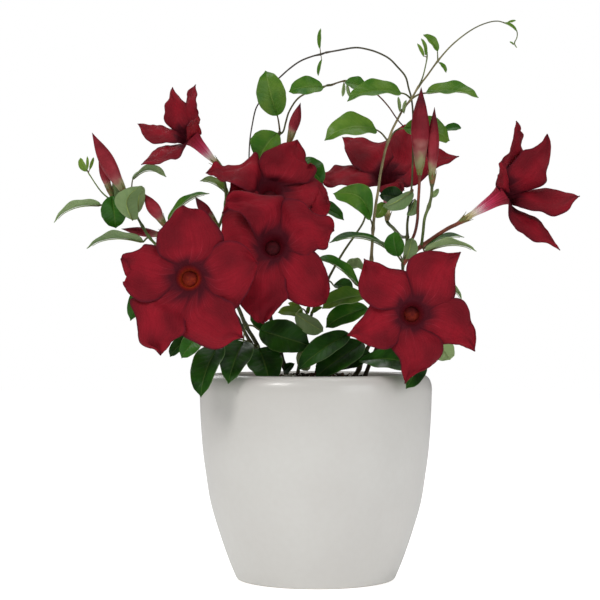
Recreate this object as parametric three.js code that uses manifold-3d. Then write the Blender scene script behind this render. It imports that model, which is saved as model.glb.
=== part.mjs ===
// A red-flowered mandevilla climbing out of a glazed pot, built in millimetres with +Z up.
import * as THREE from "three";
import { mergeVertices } from "three/addons/utils/BufferGeometryUtils.js";
import Module from "manifold-3d";

const wasm = await Module();
wasm.setup();

// Layout points are [across, up, back] as seen from one standing point in front of the pot.
const viewer = { across: -9.4, distance: 1024, height: 150 };

// Pieces that touch keep the first gap, and a vine that grows on from another's end the second.
const seatGap = 0.3;
const growthGap = 0.45;

// The pot's outside as [radius, height], from the foot to the shoulder.
const potSide = [
  [47.1, 0], [51.5, 10], [56.8, 25], [62.8, 45], [65.6, 62], [67.6, 77], [68.9, 96], [69.5, 112],
];
const pot = { height: 122, lipRadius: 62, mouthRadius: 58, wall: 4, floor: 6, heel: 2, sides: 32 };
const soil = { edgeHeight: 113, moundHeight: 8, rings: 3, wallGap: 0.5 };

const vineSides = 5;
const calyx = { length: 4, footRadius: 0.9, radius: 2.1 };
const leaf = { thickness: 0.6, endShare: 0.09, fold: 0.08, stalkRadius: 0.6, stalkInside: 0.12 };
const funnel = {
  baseRadius: 1.7, neckRadius: 2.2, throatRadius: 5.5, mouthRadius: 8.5, wall: 0.7, sides: 8,
};
const petal = {
  thickness: 0.6, widest: 0.5, rootShare: 0.8, tipHalf: 0.5, lean: 0.2, wideSide: 1.12, narrowSide: 0.88,
};
const colors = {
  pot: 0xcdcac5, soil: 0x2e241d, vine: 0x4d5a2c, leaf: 0x33582a, petal: 0x82142a, bud: 0xa52a3c,
};

// A vine is a list of tapering runs: the first is its main stem and the others branch off it.
// holds names the bud or flower at a run's end, and growsFrom the vine, run and point it starts at.
const vines = {
  vine_left: [
    { rooted: true, radii: [2.1, 1], points: [
      [-32, 114.5, -4], [-35, 138, -8], [-42, 151, -12], [-48, 164.5, -16], [-56, 173.5, -18],
      [-66.5, 181, -18], [-76.5, 188, -16], [-86, 194, -14], [-94.5, 198.5, -12], [-100, 204, -11],
      [-104, 210.5, -10], [-108.5, 218, -10], [-114, 224, -10],
    ] },
    { radii: [0.9, 0.5], points: [
      [-114, 224, -10], [-120.5, 225, -11], [-127.5, 230, -12], [-132.5, 236.5, -13],
      [-136.5, 242.5, -13],
    ] },
    { radii: [0.9, 0.8], holds: "bud_left_tall", points: [[-108.5, 218, -10], [-111.5, 224, -7]] },
    { radii: [0.8, 0.7], holds: "bud_left_short", points: [[-114, 224, -10], [-120, 226, -5]] },
    { radii: [0.9, 0.8], holds: "bud_left_inner", points: [[-94.5, 198.5, -12], [-90.5, 204, -8]] },
    { radii: [0.9, 0.8], holds: "bud_left_level", points: [[-86, 194, -14], [-84.5, 200, -8]] },
    { radii: [1, 1.1], holds: "flower_front_left", points: [[-66.5, 181, -18], [-70.5, 180, -26]] },
  ],
  vine_left_rear: [
    { rooted: true, radii: [1.9, 0.9], points: [
      [-27, 114.5, 6], [-32, 129, 4], [-39, 140.5, 0], [-46.5, 154.5, -1], [-52.5, 166, 2],
      [-58.5, 178, 6], [-62, 189, 9], [-63.5, 199, 11], [-62, 207, 11],
    ] },
    { radii: [0.9, 0.8], holds: "bud_left_upper", points: [[-62, 207, 11], [-60, 209, 9]] },
    { radii: [0.9, 1], holds: "flower_upper_left", points: [
      [-63.5, 199, 11], [-57, 213, 18], [-54, 224, 20], [-54.5, 236, 18], [-57.5, 243.5, 13],
    ] },
  ],
  vine_center: [
    { rooted: true, radii: [2, 1], points: [
      [-17, 114.5, 10], [-19, 127, 10], [-22, 139, 8], [-26, 151, 6], [-27.5, 163, 6], [-26, 175, 8],
      [-26, 186.5, 10], [-28.5, 198.5, 20], [-32, 210.5, 31], [-31, 223, 34], [-26, 238, 32],
      [-22.5, 253, 26], [-22, 265.5, 22], [-21.5, 267.5, 22],
    ] },
    { radii: [1, 1.1], holds: "flower_center", points: [[-26, 186.5, 10], [-25.5, 194, 4]] },
    { radii: [1, 1.1], holds: "flower_center_top", points: [[-28.5, 198.5, 20], [-28.5, 204, 21]] },
    { radii: [0.9, 0.8], holds: "bud_center", points: [[-22.5, 253, 26], [-18, 257.5, 21]] },
  ],
  vine_tall: [
    { rooted: true, radii: [1.9, 1.1], points: [
      [22.5, 114.5, 0], [26, 125, -2], [30, 135, -5], [34.5, 144.5, -8], [36, 157, -8], [35, 172, -6],
      [33.5, 190.5, -4], [34, 201, -4], [34.5, 209, -4], [35, 214.5, -5], [36, 223, -6],
      [37.5, 231.5, -6], [39, 242, -6], [41.5, 254.5, -6], [43.5, 261.5, -6], [44, 263, -6],
    ] },
  ],
  vine_tall_shoot: [
    { growsFrom: ["vine_tall", 0, 15], radii: [1.1, 0.5], points: [
      [44.5, 264, -6], [46, 268.5, -6], [49, 274.5, -6], [53, 281.5, -6], [57.5, 287, -6],
      [62, 294.5, -5], [67, 301, -4], [73.5, 310, -3], [80.5, 318, -2], [88.5, 325, -1], [96, 330, 0],
      [103, 333, 1], [109.5, 334, 2], [115, 332.5, 3],
    ] },
    { radii: [0.7, 0.5], points: [
      [62, 294.5, -5], [64.5, 300.5, -7], [66, 306.5, -8], [67, 312, -8], [67, 315.5, -8],
    ] },
  ],
  vine_right: [
    { rooted: true, radii: [2, 1], points: [
      [29, 114.5, 9], [32, 127, 7], [37.5, 139, 3], [44.5, 153, 0], [49.5, 166, -2], [52, 178, -3],
      [52.5, 188, -4], [54, 196, -4], [55, 204, -4], [55, 212, -3], [56.5, 223, -1], [57.5, 232, 1],
    ] },
    { radii: [1.1, 1.2], holds: "flower_right", points: [
      [52.5, 188, -4], [59.5, 195, -6], [63.5, 198.5, -6], [72, 204.5, -5], [80, 209.5, -4],
    ] },
    { radii: [0.9, 0.9], holds: "bud_right_tall", points: [
      [54, 196, -4], [59, 205, -9], [61, 213.5, -10], [61.5, 223, -10], [62, 231, -10],
    ] },
    { radii: [0.9, 0.9], holds: "bud_right_short", points: [
      [63.5, 198.5, -6], [64.5, 207, -11], [65.5, 215.5, -13], [68, 222.5, -12], [69.5, 228.5, -11],
    ] },
    { radii: [1, 1.1], holds: "flower_front_right", points: [[49.5, 166, -2], [53.5, 162.5, -18]] },
    { radii: [1, 1.1], holds: "flower_right_rear", points: [
      [55, 204, -4], [51, 204.5, 24], [46.5, 209.5, 46],
    ] },
  ],
  vine_middle: [
    { rooted: true, radii: [1.6, 0.8], points: [
      [-11, 114.5, 14], [-10, 127, 13], [-7, 141, 11], [-3.5, 154.5, 8], [1.5, 167.5, 8], [7, 178, 8],
      [12.5, 188, 8], [18, 197, 8], [23.5, 205, 8], [29, 214, 8], [30, 222.5, 11], [27, 230, 14],
    ] },
  ],
  vine_arch_fall: [
    { growsFrom: ["vine_right", 0, 11], radii: [0.9, 0.8], points: [
      [57.5, 234, 1], [58, 240, 3], [58.5, 256, 4], [58.5, 277.5, 1], [57.5, 288, 0], [56, 293.5, 1],
      [54, 300.5, 2], [49, 306.5, 3], [44, 311.5, 4], [37.5, 315, 5], [31, 317, 6], [24, 318, 7],
      [14, 316.5, 8], [6, 315, 9],
    ] },
  ],
  vine_arch_rise: [
    { growsFrom: ["vine_arch_fall", 0, 13], radii: [0.8, 0.6], points: [
      [5, 314.5, 9], [3, 314, 9], [-1.5, 313, 10], [-9, 310, 12], [-15.5, 305.5, 15], [-21, 300.5, 19],
      [-28.5, 293, 23], [-33.5, 285.5, 23], [-36, 281, 23], [-38, 272, 23], [-39.5, 262.5, 22],
      [-40, 252, 22], [-39.5, 243, 24],
    ] },
  ],
  vine_arch_inner: [
    { growsFrom: ["vine_center", 0, 12], radii: [0.9, 0.6], points: [
      [-22, 265.5, 22], [-19.5, 267.5, 20.5], [-18, 273, 19.5], [-16, 279.5, 18], [-10.5, 287.5, 14],
      [-3.5, 291.5, 12], [4.5, 294.5, 10], [9.5, 295.5, 8], [13.5, 297, 8], [18, 298, 8],
      [25, 296.5, 9.5], [30, 293.5, 11], [36, 290.5, 12], [43, 283.5, 14], [49, 275, 17], [51.5, 272, 18],
      [56.5, 267.5, 21], [64, 267, 24],
    ] },
  ],
};

// Name, mouth of the funnel, way it faces, funnel length, lobe width, and the tip of each lobe.
const flowers = [
  ["flower_front_left", [-76, 179.5, -70], [0.02, -1, 0.06], 33, 40, [
    [-79.5, 223, -73], [-35, 189, -70], [-43.5, 143.5, -76], [-93, 133.5, -77], [-117, 191, -72],
  ]],
  ["flower_center", [-25.5, 199, -43], [0.05, -0.98, 0.18], 33, 36, [
    [-54, 228, -44], [11, 216, -44], [6, 165, -50], [-31.5, 152, -52], [-60.5, 189, -36],
  ]],
  ["flower_center_top", [-27.5, 233, -4], [0.03, -0.75, 0.66], 30, 34, [
    [-65, 245.5, -3], [-12, 259, 8], [9, 224.5, -8], [-26, 204.5, -26], [-56, 218, -20],
  ]],
  ["flower_upper_left", [-75, 264.5, 10], [-0.69, -0.1, 0.72], 25, 32, [
    [-86, 294, 38], [-72, 295.5, 16], [-106.5, 272, 30], [-104, 247.5, -12], [-70.5, 278, -24],
  ]],
  ["flower_right", [114, 230.5, -6], [0.84, -0.06, 0.54], 30, 34, [
    [120.5, 273, 6], [139, 265.5, 14], [158.5, 228.5, 10], [146.5, 196, -12], [112, 249.5, -42],
  ]],
  ["flower_right_rear", [43.5, 238, 33], [-0.02, -0.7, 0.7], 30, 36, [
    [2, 237, 36], [16, 264, 58], [50.5, 266, 66], [85.5, 252, 50], [51, 232, 8],
  ]],
  ["flower_front_right", [58, 158, -70], [0, -1, 0.04], 33, 33, [
    [29, 190.5, -72], [87, 195, -72], [95.5, 135.5, -70], [55.5, 116.5, -74], [19.5, 145, -70],
  ]],
];

// Name, base, tip and greatest width.
const buds = [
  ["bud_left_tall", [-115, 231, -8], [-134.5, 267, -14], 9.6],
  ["bud_left_short", [-123, 231, -3], [-130.5, 252, -6], 5.4],
  ["bud_left_inner", [-91.5, 212.5, -8], [-103.5, 230.5, -10], 7.8],
  ["bud_left_level", [-90.5, 205, -3], [-117, 209, -3], 5.6],
  ["bud_left_upper", [-60.5, 212.5, 6], [-72.5, 228.5, 2], 6.6],
  ["bud_center", [-15.5, 262.5, 18], [-9, 285, 14], 6.8],
  ["bud_right_tall", [62.5, 243.5, -11], [63.5, 294.5, -16], 9.4],
  ["bud_right_short", [70, 238, -11], [71.5, 282.5, -13], 6],
];

// Name, vine, run and point that the stalk leaves from, base, tip, way the face looks, width, arch.
const leaves = [
  ["leaf_left_long", "vine_left", 1, 1, [-129, 223.5, -14], [-157.5, 214, -22], [0, 0.13, 1], 15, 3.5],
  ["leaf_left_round", "vine_left", 1, 1,
    [-122.5, 228.5, -15], [-120, 209.5, -15.5], [0.1, -1, 0.1], 14, 1.5],
  ["leaf_left_pale", "vine_left", 0, 12, [-114.5, 225.5, -20], [-107, 214, -24], [-0.2, 1, 0.3], 13, 2],
  ["leaf_left_arched", "vine_left", 2, 1, [-108, 240.5, 2], [-90, 241.5, 12], [0, 0.25, 1], 11, 4.5],
  ["leaf_left_low", "vine_left", 0, 9, [-103.5, 201.5, -13], [-137.5, 198.5, -20], [0, 0.12, 1], 16, 3.5],
  ["leaf_left_high", "vine_left", 0, 7, [-88.5, 213.5, -21], [-64.5, 231, -18], [-0.5, -0.3, 0.9], 12.5, 3],
  ["leaf_rim_far_left", "vine_left", 0, 1, [-55, 139, -42], [-69.5, 108.5, -64], [-0.6, -0.8, 0.2], 17, 3],
  ["leaf_rim_left", "vine_left", 0, 2, [-42, 141, -30], [-52, 117.5, -60], [-0.1, -0.95, 0.3], 16, 2],
  ["leaf_front_dark", "vine_left", 0, 1, [-34, 137, -20], [-27.5, 116, -38], [0.1, -0.95, 0.3], 17.5, 1.5],
  ["leaf_center_big", "vine_left", 0, 2, [-33.5, 147, -18], [-6, 140.5, -28], [0.05, -0.95, 0.25], 17.5, 2],
  ["leaf_center_pale", "vine_middle", 0, 3, [-10, 157, -4], [6, 147.5, -7], [0.3, 0.9, -0.3], 10, 1],
  ["leaf_hooked", "vine_tall", 0, 3, [20, 146, -22], [-10.5, 125, -42], [-0.2, -0.9, 0.4], 15, 2.5],
  ["leaf_low_dark", "vine_tall", 0, 2, [27, 140.5, -12], [0, 121, -34], [-0.3, -0.9, 0.3], 17, 2],
  ["leaf_rim_right", "vine_tall", 0, 1, [28, 129.5, -26], [52.5, 120, -60], [0.2, -0.9, 0.45], 15, 2],
  ["leaf_rim_tip", "vine_right", 0, 2, [61.5, 136, -32], [57, 112, -62], [0.5, -0.8, 0.3], 13, 2],
  ["leaf_right_low", "vine_right", 0, 3, [71, 146, 4], [80.5, 131, -2], [-0.3, 0.9, 0.3], 11, 2],
  ["leaf_mid", "vine_tall", 0, 4, [30, 161.5, -12], [7, 150.5, -17], [-0.1, -0.8, 0.6], 14, 2],
  ["leaf_mid_upper", "vine_tall", 0, 5, [29.5, 168.5, -10], [4, 162, -19], [0, -0.7, 0.7], 13, 2],
  ["leaf_mid_top", "vine_tall", 0, 5, [25.5, 175, -9], [1, 192, -16], [0.3, -0.45, 0.8], 14, 2.5],
  ["leaf_long_dark", "vine_right", 0, 6, [45.5, 196, -12], [8.5, 201.5, -27], [0, -0.3, 1], 15, 5],
  ["leaf_right_round", "vine_right", 0, 6, [49.5, 192.5, -21], [47, 207, -22], [-0.3, -0.9, 0.2], 12, 1.5],
  ["leaf_right_upper", "vine_right", 1, 2, [66, 198.5, -3], [89, 204, 0], [0, -0.05, 1], 11, 1.5],
  ["leaf_right_lower", "vine_right", 1, 2, [65.5, 195.5, -12], [96.5, 196.5, -24], [0, 0.18, 1], 13, 3.5],
  ["leaf_heart", "vine_tall", 0, 8, [31, 215.5, -10], [5.5, 232, -20], [-0.2, -0.9, 0.3], 18, 2],
  ["leaf_top_olive", "vine_tall", 0, 14, [36, 269, -12], [5.5, 263.5, -22], [-0.1, -0.8, 0.6], 16, 4],
  ["leaf_top_pair", "vine_tall", 0, 14, [53, 267.5, 12], [80.5, 260.5, 18], [0.1, -0.9, 0.35], 15, 2],
  ["leaf_shoot_left", "vine_tall_shoot", 0, 4, [51, 291, -11], [19, 287, -19], [0, -0.55, 0.9], 14.5, 5],
  ["leaf_shoot_right", "vine_tall_shoot", 0, 4, [66.5, 291, -8], [98, 289, -18], [0, -0.4, 0.9], 14, 4.5],
  ["leaf_oval", "vine_center", 0, 13, [-23, 277, 17], [-30, 304, 10], [0, -1, 0.1], 18, 2],
  ["leaf_glossy", "vine_arch_inner", 0, 7, [4.5, 294, 3], [-16, 292, 0], [0, -0.9, 0.45], 13, 1.5],
  ["leaf_round_top", "vine_center", 0, 12, [-25, 266, 19], [-34.5, 250, 20], [-0.2, -0.9, 0.3], 17, 2],
  ["leaf_behind_right", "vine_center", 0, 10, [-10, 250, 24], [4, 236, 17], [0.2, -0.9, 0.3], 15, 2],
  ["leaf_low_left", "vine_left_rear", 0, 4,
    [-67.5, 147.5, -12], [-80.5, 131.5, -16], [0.2, -0.9, 0.4], 11.5, 2],
];

// Small leaves that are one piece with their vine, in the same order of values.
const joinedLeaves = [
  ["leaf_left_upright", "vine_left", 0, 11, [-107, 219.5, -3], [-104, 235, 0], [0.5, -0.85, 0.1], 8.5, 1],
  ["leaf_behind_top", "vine_left_rear", 2, 2, [-52.5, 230, 26], [-69, 238.5, 22], [0, -0.45, 0.9], 12, 2],
  ["leaf_low_small", "vine_center", 0, 1, [-18.5, 123.5, 2], [-13, 128, -10], [-0.5, -0.85, 0], 6, 1],
  ["leaf_low_pale", "vine_middle", 0, 2, [-9.5, 136, 4], [-5, 123.5, 0], [-0.3, 0.9, 0.3], 8.5, 1],
  ["leaf_right_mid", "vine_right", 0, 4, [73.5, 173, 6], [88, 167, 4], [0, 0.25, 1], 11, 2.5],
  ["leaf_mid_dark", "vine_middle", 0, 5, [11, 175, 3], [22, 171.5, 0], [0, -0.6, 0.8], 12, 1],
  ["leaf_behind_front", "vine_tall", 0, 6, [30, 184, 2], [17.5, 186, 6], [0, 0.5, 0.85], 12, 2],
  ["leaf_right_grey", "vine_right", 0, 7, [55.5, 191, -11], [59.5, 203.5, -13], [0.3, 0.8, -0.3], 9, 1],
  ["leaf_grey_high", "vine_right", 0, 11, [55.5, 230.5, -5], [42, 223, -12], [0.3, 0.7, -0.4], 12, 1],
  ["leaf_grey_low", "vine_right", 0, 10, [56.5, 225, -6], [52, 217, -10], [0.5, 0.7, -0.2], 9, 1],
  ["leaf_under_rear", "vine_right", 0, 10, [52, 227, 6], [38, 233.5, 4], [0, -0.9, 0.4], 11, 1],
  ["leaf_heart_pair", "vine_tall", 0, 8, [37, 214, 1], [42, 223, 3], [0.2, -0.9, 0.2], 9, 1],
  ["leaf_top_back", "vine_arch_inner", 0, 17, [74.5, 269, 26], [87.5, 269.5, 30], [0, -0.8, 0.5], 8, 1],
  ["leaf_curled", "vine_arch_inner", 0, 9, [19.5, 296.5, 4], [30, 291, 3], [0, -0.8, 0.6], 8, 1],
  ["leaf_gap_right", "vine_center", 0, 9, [-7.5, 224.5, 22], [17, 215, 6], [0, -0.6, 0.8], 12, 2],
  ["leaf_low_green", "vine_middle", 0, 3, [-7.5, 158, 6], [-22.5, 159, 2], [0, -0.8, 0.6], 8, 1],
  ["leaf_stem_side", "vine_center", 0, 3, [-31.5, 148, 2], [-39, 156.5, 0], [0, -0.8, 0.5], 7.5, 1],
  ["leaf_low_left_pair", "vine_left_rear", 0, 3,
    [-75.5, 144.5, -2], [-87.5, 132.5, -8], [-0.2, -0.9, 0.3], 9, 1.5],
  ["leaf_far_left", "vine_left", 0, 7, [-97, 183, -6], [-111.5, 154, -10], [-0.4, -0.9, 0.1], 12, 2],
  ["leaf_young_top", "vine_tall_shoot", 1, 4,
    [67.5, 317, -8], [65.5, 326, -9], [0.6, -0.75, 0.1], 5.5, 0.8],
  ["leaf_young_side", "vine_tall_shoot", 0, 7,
    [74.5, 308.5, -3], [78, 303, -4], [0.5, -0.8, 0.2], 3.2, 0.5],
  ["leaf_shoot_tip", "vine_tall_shoot", 0, 13,
    [115.5, 332.5, 3], [121.5, 327.5, 2], [0.3, -0.8, 0.5], 3.6, 0.6],
  ["leaf_arch_up", "vine_arch_rise", 0, 1, [4.5, 317.5, 9], [3, 328, 8], [-0.5, -0.85, 0], 2.8, 0.5],
  ["leaf_arch_down", "vine_arch_rise", 0, 1, [4, 311.5, 9], [1.5, 302, 8], [-0.5, -0.85, 0], 3, 0.5],
  ["leaf_shoot_small", "vine_left", 1, 4,
    [-137, 243.5, -13], [-141.5, 251.5, -14], [-0.5, -0.8, 0.2], 5.5, 0.8],
  ["leaf_rear_low", "vine_left_rear", 0, 2, [-45.5, 137.5, 30], [-52.5, 130, 56], [-0.1, 0.4, 0.9], 15, 3],
  ["leaf_rear_side_left", "vine_left", 0, 6, [-81.5, 185.5, 12], [-88.5, 178, 38], [-0.3, 0.4, 0.9], 14, 3],
  ["leaf_rear_side_right", "vine_right", 0, 5, [62.5, 173.5, 26], [70, 166, 52], [0.3, 0.4, 0.9], 14, 3],
  ["leaf_rear_inside", "vine_tall", 0, 5, [38.5, 176, 28], [43.5, 166, 54], [0.1, 0.4, 0.9], 15, 3],
  ["leaf_rear_high", "vine_left_rear", 0, 6, [-67, 189, 34], [-74, 183, 60], [-0.2, 0.4, 0.9], 14, 3],
  ["leaf_rear_low_right", "vine_tall", 0, 3, [38.5, 142, 28], [44.5, 135, 54], [0.1, 0.4, 0.9], 14, 3],
  ["leaf_rear_left", "vine_left_rear", 0, 5,
    [-66.5, 173.5, 24], [-76.5, 162.5, 52], [-0.2, 0.4, 0.8], 15, 3],
  ["leaf_rear_center", "vine_center", 0, 4, [-31, 165, 24], [-37, 156.5, 58], [-0.1, 0.4, 0.9], 16, 3],
  ["leaf_rear_middle", "vine_middle", 0, 2, [-12, 143.5, 28], [-18, 136, 60], [0, 0.4, 0.9], 15, 3],
  ["leaf_rear_right", "vine_right", 0, 3, [49.5, 155.5, 18], [56.5, 148, 50], [0.2, 0.4, 0.9], 15, 3],
  ["leaf_rear_tall", "vine_right", 0, 4, [53.5, 168.5, 16], [62.5, 166, 46], [0.2, 0.4, 0.9], 14, 3],
  ["leaf_rear_top", "vine_center", 0, 8, [-34.5, 210.5, 42], [-42, 202, 70], [-0.1, 0.4, 0.9], 14, 3],
];

// A closed mesh with shared corners becomes a solid that can be joined.
function solidOf(geometry) {
  const bare = geometry.clone();
  bare.deleteAttribute("normal");
  bare.deleteAttribute("uv");
  const merged = mergeVertices(bare, 1e-4);
  return new wasm.Manifold(new wasm.Mesh({
    numProp: 3,
    vertProperties: merged.attributes.position.array,
    triVerts: new Uint32Array(merged.index.array),
  }));
}

function geometryOf(solid) {
  const mesh = solid.getMesh();
  const geometry = new THREE.BufferGeometry();
  geometry.setAttribute("position", new THREE.BufferAttribute(mesh.vertProperties, 3));
  geometry.setIndex(new THREE.BufferAttribute(mesh.triVerts, 1));
  geometry.computeVertexNormals();
  return geometry;
}

function join(solids) {
  return solids.reduce((whole, piece) => whole.add(piece));
}

// Turns a layout point into a place: what stands farther back spreads away from the viewer's eye.
function place([across, up, back]) {
  const spread = 1 + back / viewer.distance;
  return new THREE.Vector3(
    viewer.across + (across - viewer.across) * spread,
    back,
    viewer.height + (up - viewer.height) * spread,
  );
}

function reshape(geometry, pointFor) {
  const positions = geometry.attributes.position;
  const corner = new THREE.Vector3();
  for (let i = 0; i < positions.count; i += 1) {
    corner.fromBufferAttribute(positions, i);
    const point = pointFor(corner.x, corner.y, corner.z);
    positions.setXYZ(i, point.x, point.y, point.z);
  }
  return geometry;
}

// A turned shape of [radius, distance] pairs that stands on a foot point and looks a given way.
function turned(profile, sides, foot, way) {
  const outline = profile.map(([radius, along]) => new THREE.Vector2(radius, along));
  const turn = new THREE.Quaternion().setFromUnitVectors(new THREE.Vector3(0, 1, 0), way);
  const geometry = new THREE.LatheGeometry(outline, sides).applyQuaternion(turn);
  return solidOf(geometry.translate(foot.x, foot.y, foot.z));
}

// A tube with closed ends, with one ring of corners at each point that it passes through.
function tube(points, startRadius, endRadius, sides, startAlong = null) {
  const curve = new THREE.CatmullRomCurve3(points, false, "centripetal");
  const steps = points.length - 1;
  const rings = [];
  let side = new THREE.Vector3(0.3, 1, 0.2);
  for (let i = 0; i <= steps; i += 1) {
    const along = i === 0 && startAlong ? startAlong : curve.getTangent(i / steps);
    side = side.clone().addScaledVector(along, -side.dot(along)).normalize();
    rings.push({ side, other: side.clone().cross(along) });
  }
  const cylinder = new THREE.CylinderGeometry(1, 1, steps, sides, steps);
  return solidOf(reshape(cylinder, (x, y, z) => {
    const i = Math.round(y + steps / 2);
    const radius = THREE.MathUtils.lerp(startRadius, endRadius, i / steps);
    return points[i].clone()
      .addScaledVector(rings[i].side, x * radius)
      .addScaledVector(rings[i].other, z * radius);
  }));
}

// Cuts the underside's squares along the same diagonals as the top's, so that a twisted sheet keeps
// its thickness everywhere.
function turnUnderside(box) {
  const { start, count } = box.groups[box.groups.length - 1];
  for (let i = start; i < start + count; i += 6) {
    const [a, b, d, , c] = box.index.array.slice(i, i + 6);
    box.index.array.set([a, b, c, a, c, d], i);
  }
}

// A thin sheet. At each share of its length a frame gives its middle, across and normal, and its
// half width and lift depend on the side too.
function sheet(frameAt, half, lift, thickness, lengthSteps) {
  const box = new THREE.BoxGeometry(1, 2, 1, lengthSteps, 2, 1);
  turnUnderside(box);
  return solidOf(reshape(box, (x, y, z) => {
    const s = THREE.MathUtils.clamp(x + 0.5, 0, 1);
    const { middle, across, normal } = frameAt(s);
    return middle.clone()
      .addScaledVector(across, y * half(s, y))
      .addScaledVector(normal, lift(s, y) + z * thickness);
  }));
}

function soilTop(radius) {
  const share = radius / (pot.mouthRadius - soil.wallGap);
  return soil.edgeHeight + soil.moundHeight * (1 - share ** 2);
}

// The pot's inner wall as [radius, height], from the top down.
function innerWall() {
  return potSide
    .filter(([, height]) => height > pot.floor && height < soil.edgeHeight - 4)
    .map(([radius, height]) => [Math.min(radius - pot.wall, pot.mouthRadius), height])
    .reverse();
}

function buildPot() {
  const shoulder = new THREE.Vector2(...potSide[potSide.length - 1]);
  const corner = new THREE.Vector2(shoulder.x + 0.3, pot.height);
  const lip = new THREE.Vector2(pot.lipRadius, pot.height);
  const rim = new THREE.QuadraticBezierCurve(shoulder, corner, lip).getPoints(3).slice(1);
  const wall = innerWall();
  const [lowestRadius] = wall[wall.length - 1];
  const profile = [
    [0, 0], ...potSide, ...rim.map((point) => point.toArray()),
    [pot.mouthRadius, pot.height - 1], ...wall,
    [lowestRadius - pot.heel, pot.floor], [0, pot.floor],
  ];
  return turned(profile, pot.sides, new THREE.Vector3(), new THREE.Vector3(0, 0, 1));
}

// The soil follows the inner wall all the way down, and ends in a low mound.
function buildSoil() {
  const wall = innerWall().map(([radius, height]) => [radius - soil.wallGap, height]).reverse();
  const [topRadius] = wall[wall.length - 1];
  const mound = [];
  for (let ring = soil.rings; ring >= 0; ring -= 1) {
    const radius = (topRadius * ring) / soil.rings;
    mound.push([radius, soilTop(radius)]);
  }
  const base = pot.floor + seatGap;
  const profile = [[0, base], [wall[0][0] - pot.heel, base], ...wall, ...mound];
  return turned(profile, pot.sides, new THREE.Vector3(), new THREE.Vector3(0, 0, 1));
}

// Where a bud or flower sits on its stalk, and the way it points.
function seatOf(name) {
  const bud = buds.find((row) => row[0] === name);
  if (bud) {
    const point = place(bud[1]);
    return { point, way: place(bud[2]).sub(point).normalize() };
  }
  const [, mouth, facing, length] = flowers.find((row) => row[0] === name);
  const way = new THREE.Vector3(...facing).normalize();
  return { point: place(mouth).addScaledVector(way, -length), way };
}

function runPoints(run) {
  const points = run.points.map(place);
  if (run.rooted) {
    const foot = points[0];
    foot.z = soilTop(Math.hypot(foot.x, foot.y) - run.radii[0]) + seatGap;
  }
  if (run.growsFrom) {
    points[0] = startBeside(...run.growsFrom, points[1], growthGap, run.radii[0]);
  }
  return points;
}

// Where a stalk of a given radius starts, so that it keeps a gap to the vine that it leaves.
function startBeside(vine, runIndex, pointIndex, toward, gap, radius) {
  const run = vines[vine][runIndex];
  const points = runPoints(run);
  const last = points.length - 1;
  const joint = points[pointIndex];
  const way = toward.clone().sub(joint).normalize();
  const before = points[Math.max(0, pointIndex - 1)];
  const after = points[Math.min(last, pointIndex + 1)];
  const forward = way.dot(after.clone().sub(before).normalize());
  const beside = Math.sqrt(Math.max(0.04, 1 - forward ** 2));
  const offTheEnd = pointIndex === last && !run.holds && forward > 0.6;
  const skinRadius = 0.93 * THREE.MathUtils.lerp(...run.radii, pointIndex / last);
  const exit = offTheEnd ? 0 : skinRadius / beside;
  const square = offTheEnd ? forward : beside;
  const slant = offTheEnd ? beside : Math.abs(forward);
  return joint.clone().addScaledVector(way, exit + (gap + radius * slant) / Math.max(square, 0.5));
}

function buildCalyx(seat) {
  const { length, footRadius, radius } = calyx;
  const profile = [[0, 0], [footRadius, 0], [radius, 0.6 * length], [0.9 * radius, length], [0, length]];
  const foot = seat.point.clone().addScaledVector(seat.way, -length - seatGap);
  return turned(profile, vineSides, foot, seat.way);
}

function buildRun(run) {
  const points = runPoints(run);
  if (!run.holds) {
    return tube(points, ...run.radii, vineSides, run.rooted ? new THREE.Vector3(0, 0, 1) : null);
  }
  const seat = seatOf(run.holds);
  points.push(seat.point.clone().addScaledVector(seat.way, -calyx.length));
  return tube(points, ...run.radii, vineSides).add(buildCalyx(seat));
}

// An arched blade with a fold along its middle, on a stalk that starts at its vine.
function buildLeaf([, vine, runIndex, pointIndex, baseRow, tipRow, face, width, arch], joined) {
  const base = place(baseRow);
  const length = place(tipRow).sub(base);
  const ahead = length.clone().normalize();
  const normal = new THREE.Vector3(...face);
  normal.addScaledVector(ahead, -normal.dot(ahead)).normalize();
  const across = normal.clone().cross(ahead);
  const frameAt = (s) => ({ middle: base.clone().addScaledVector(length, s), across, normal });
  const outline = (s) => Math.abs(Math.sin(Math.PI * s ** 0.82)) ** 0.8;
  const half = (s) => (width / 2) * Math.max(leaf.endShare, outline(s));
  const lift = (s, y) => arch * Math.sin(Math.PI * s) + Math.abs(y) * width * leaf.fold;
  const blade = sheet(frameAt, half, lift, leaf.thickness, joined ? 3 : 4);

  const inside = base.clone().addScaledVector(length, leaf.stalkInside)
    .addScaledVector(normal, arch * Math.sin(Math.PI * leaf.stalkInside));
  const route = joined
    ? [runPoints(vines[vine][runIndex])[pointIndex], inside]
    : [startBeside(vine, runIndex, pointIndex, base, seatGap, leaf.stalkRadius), base, inside];
  return blade.add(tube(route, leaf.stalkRadius, 0.7 * leaf.stalkRadius, 4));
}

// A funnel of five broad lobes, each drawn out to its own tip.
function buildFlower([, mouthRow, facing, length, width, tipRows]) {
  const mouth = place(mouthRow);
  const way = new THREE.Vector3(...facing).normalize();
  const { baseRadius, neckRadius, throatRadius, mouthRadius, wall, sides } = funnel;
  const profile = [
    [0, 0], [baseRadius, 0], [neckRadius, 0.3 * length], [throatRadius, 0.55 * length],
    [mouthRadius, length], [mouthRadius - wall, length], [throatRadius - wall, 0.57 * length],
    [neckRadius - 2 * wall, 0.35 * length], [0, 0.32 * length],
  ];
  const foot = mouth.clone().addScaledVector(way, -length);
  const lobes = tipRows.map((row) => buildPetal(mouth, way, place(row), width));
  return join([turned(profile, sides, foot, way), ...lobes]);
}

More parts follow.
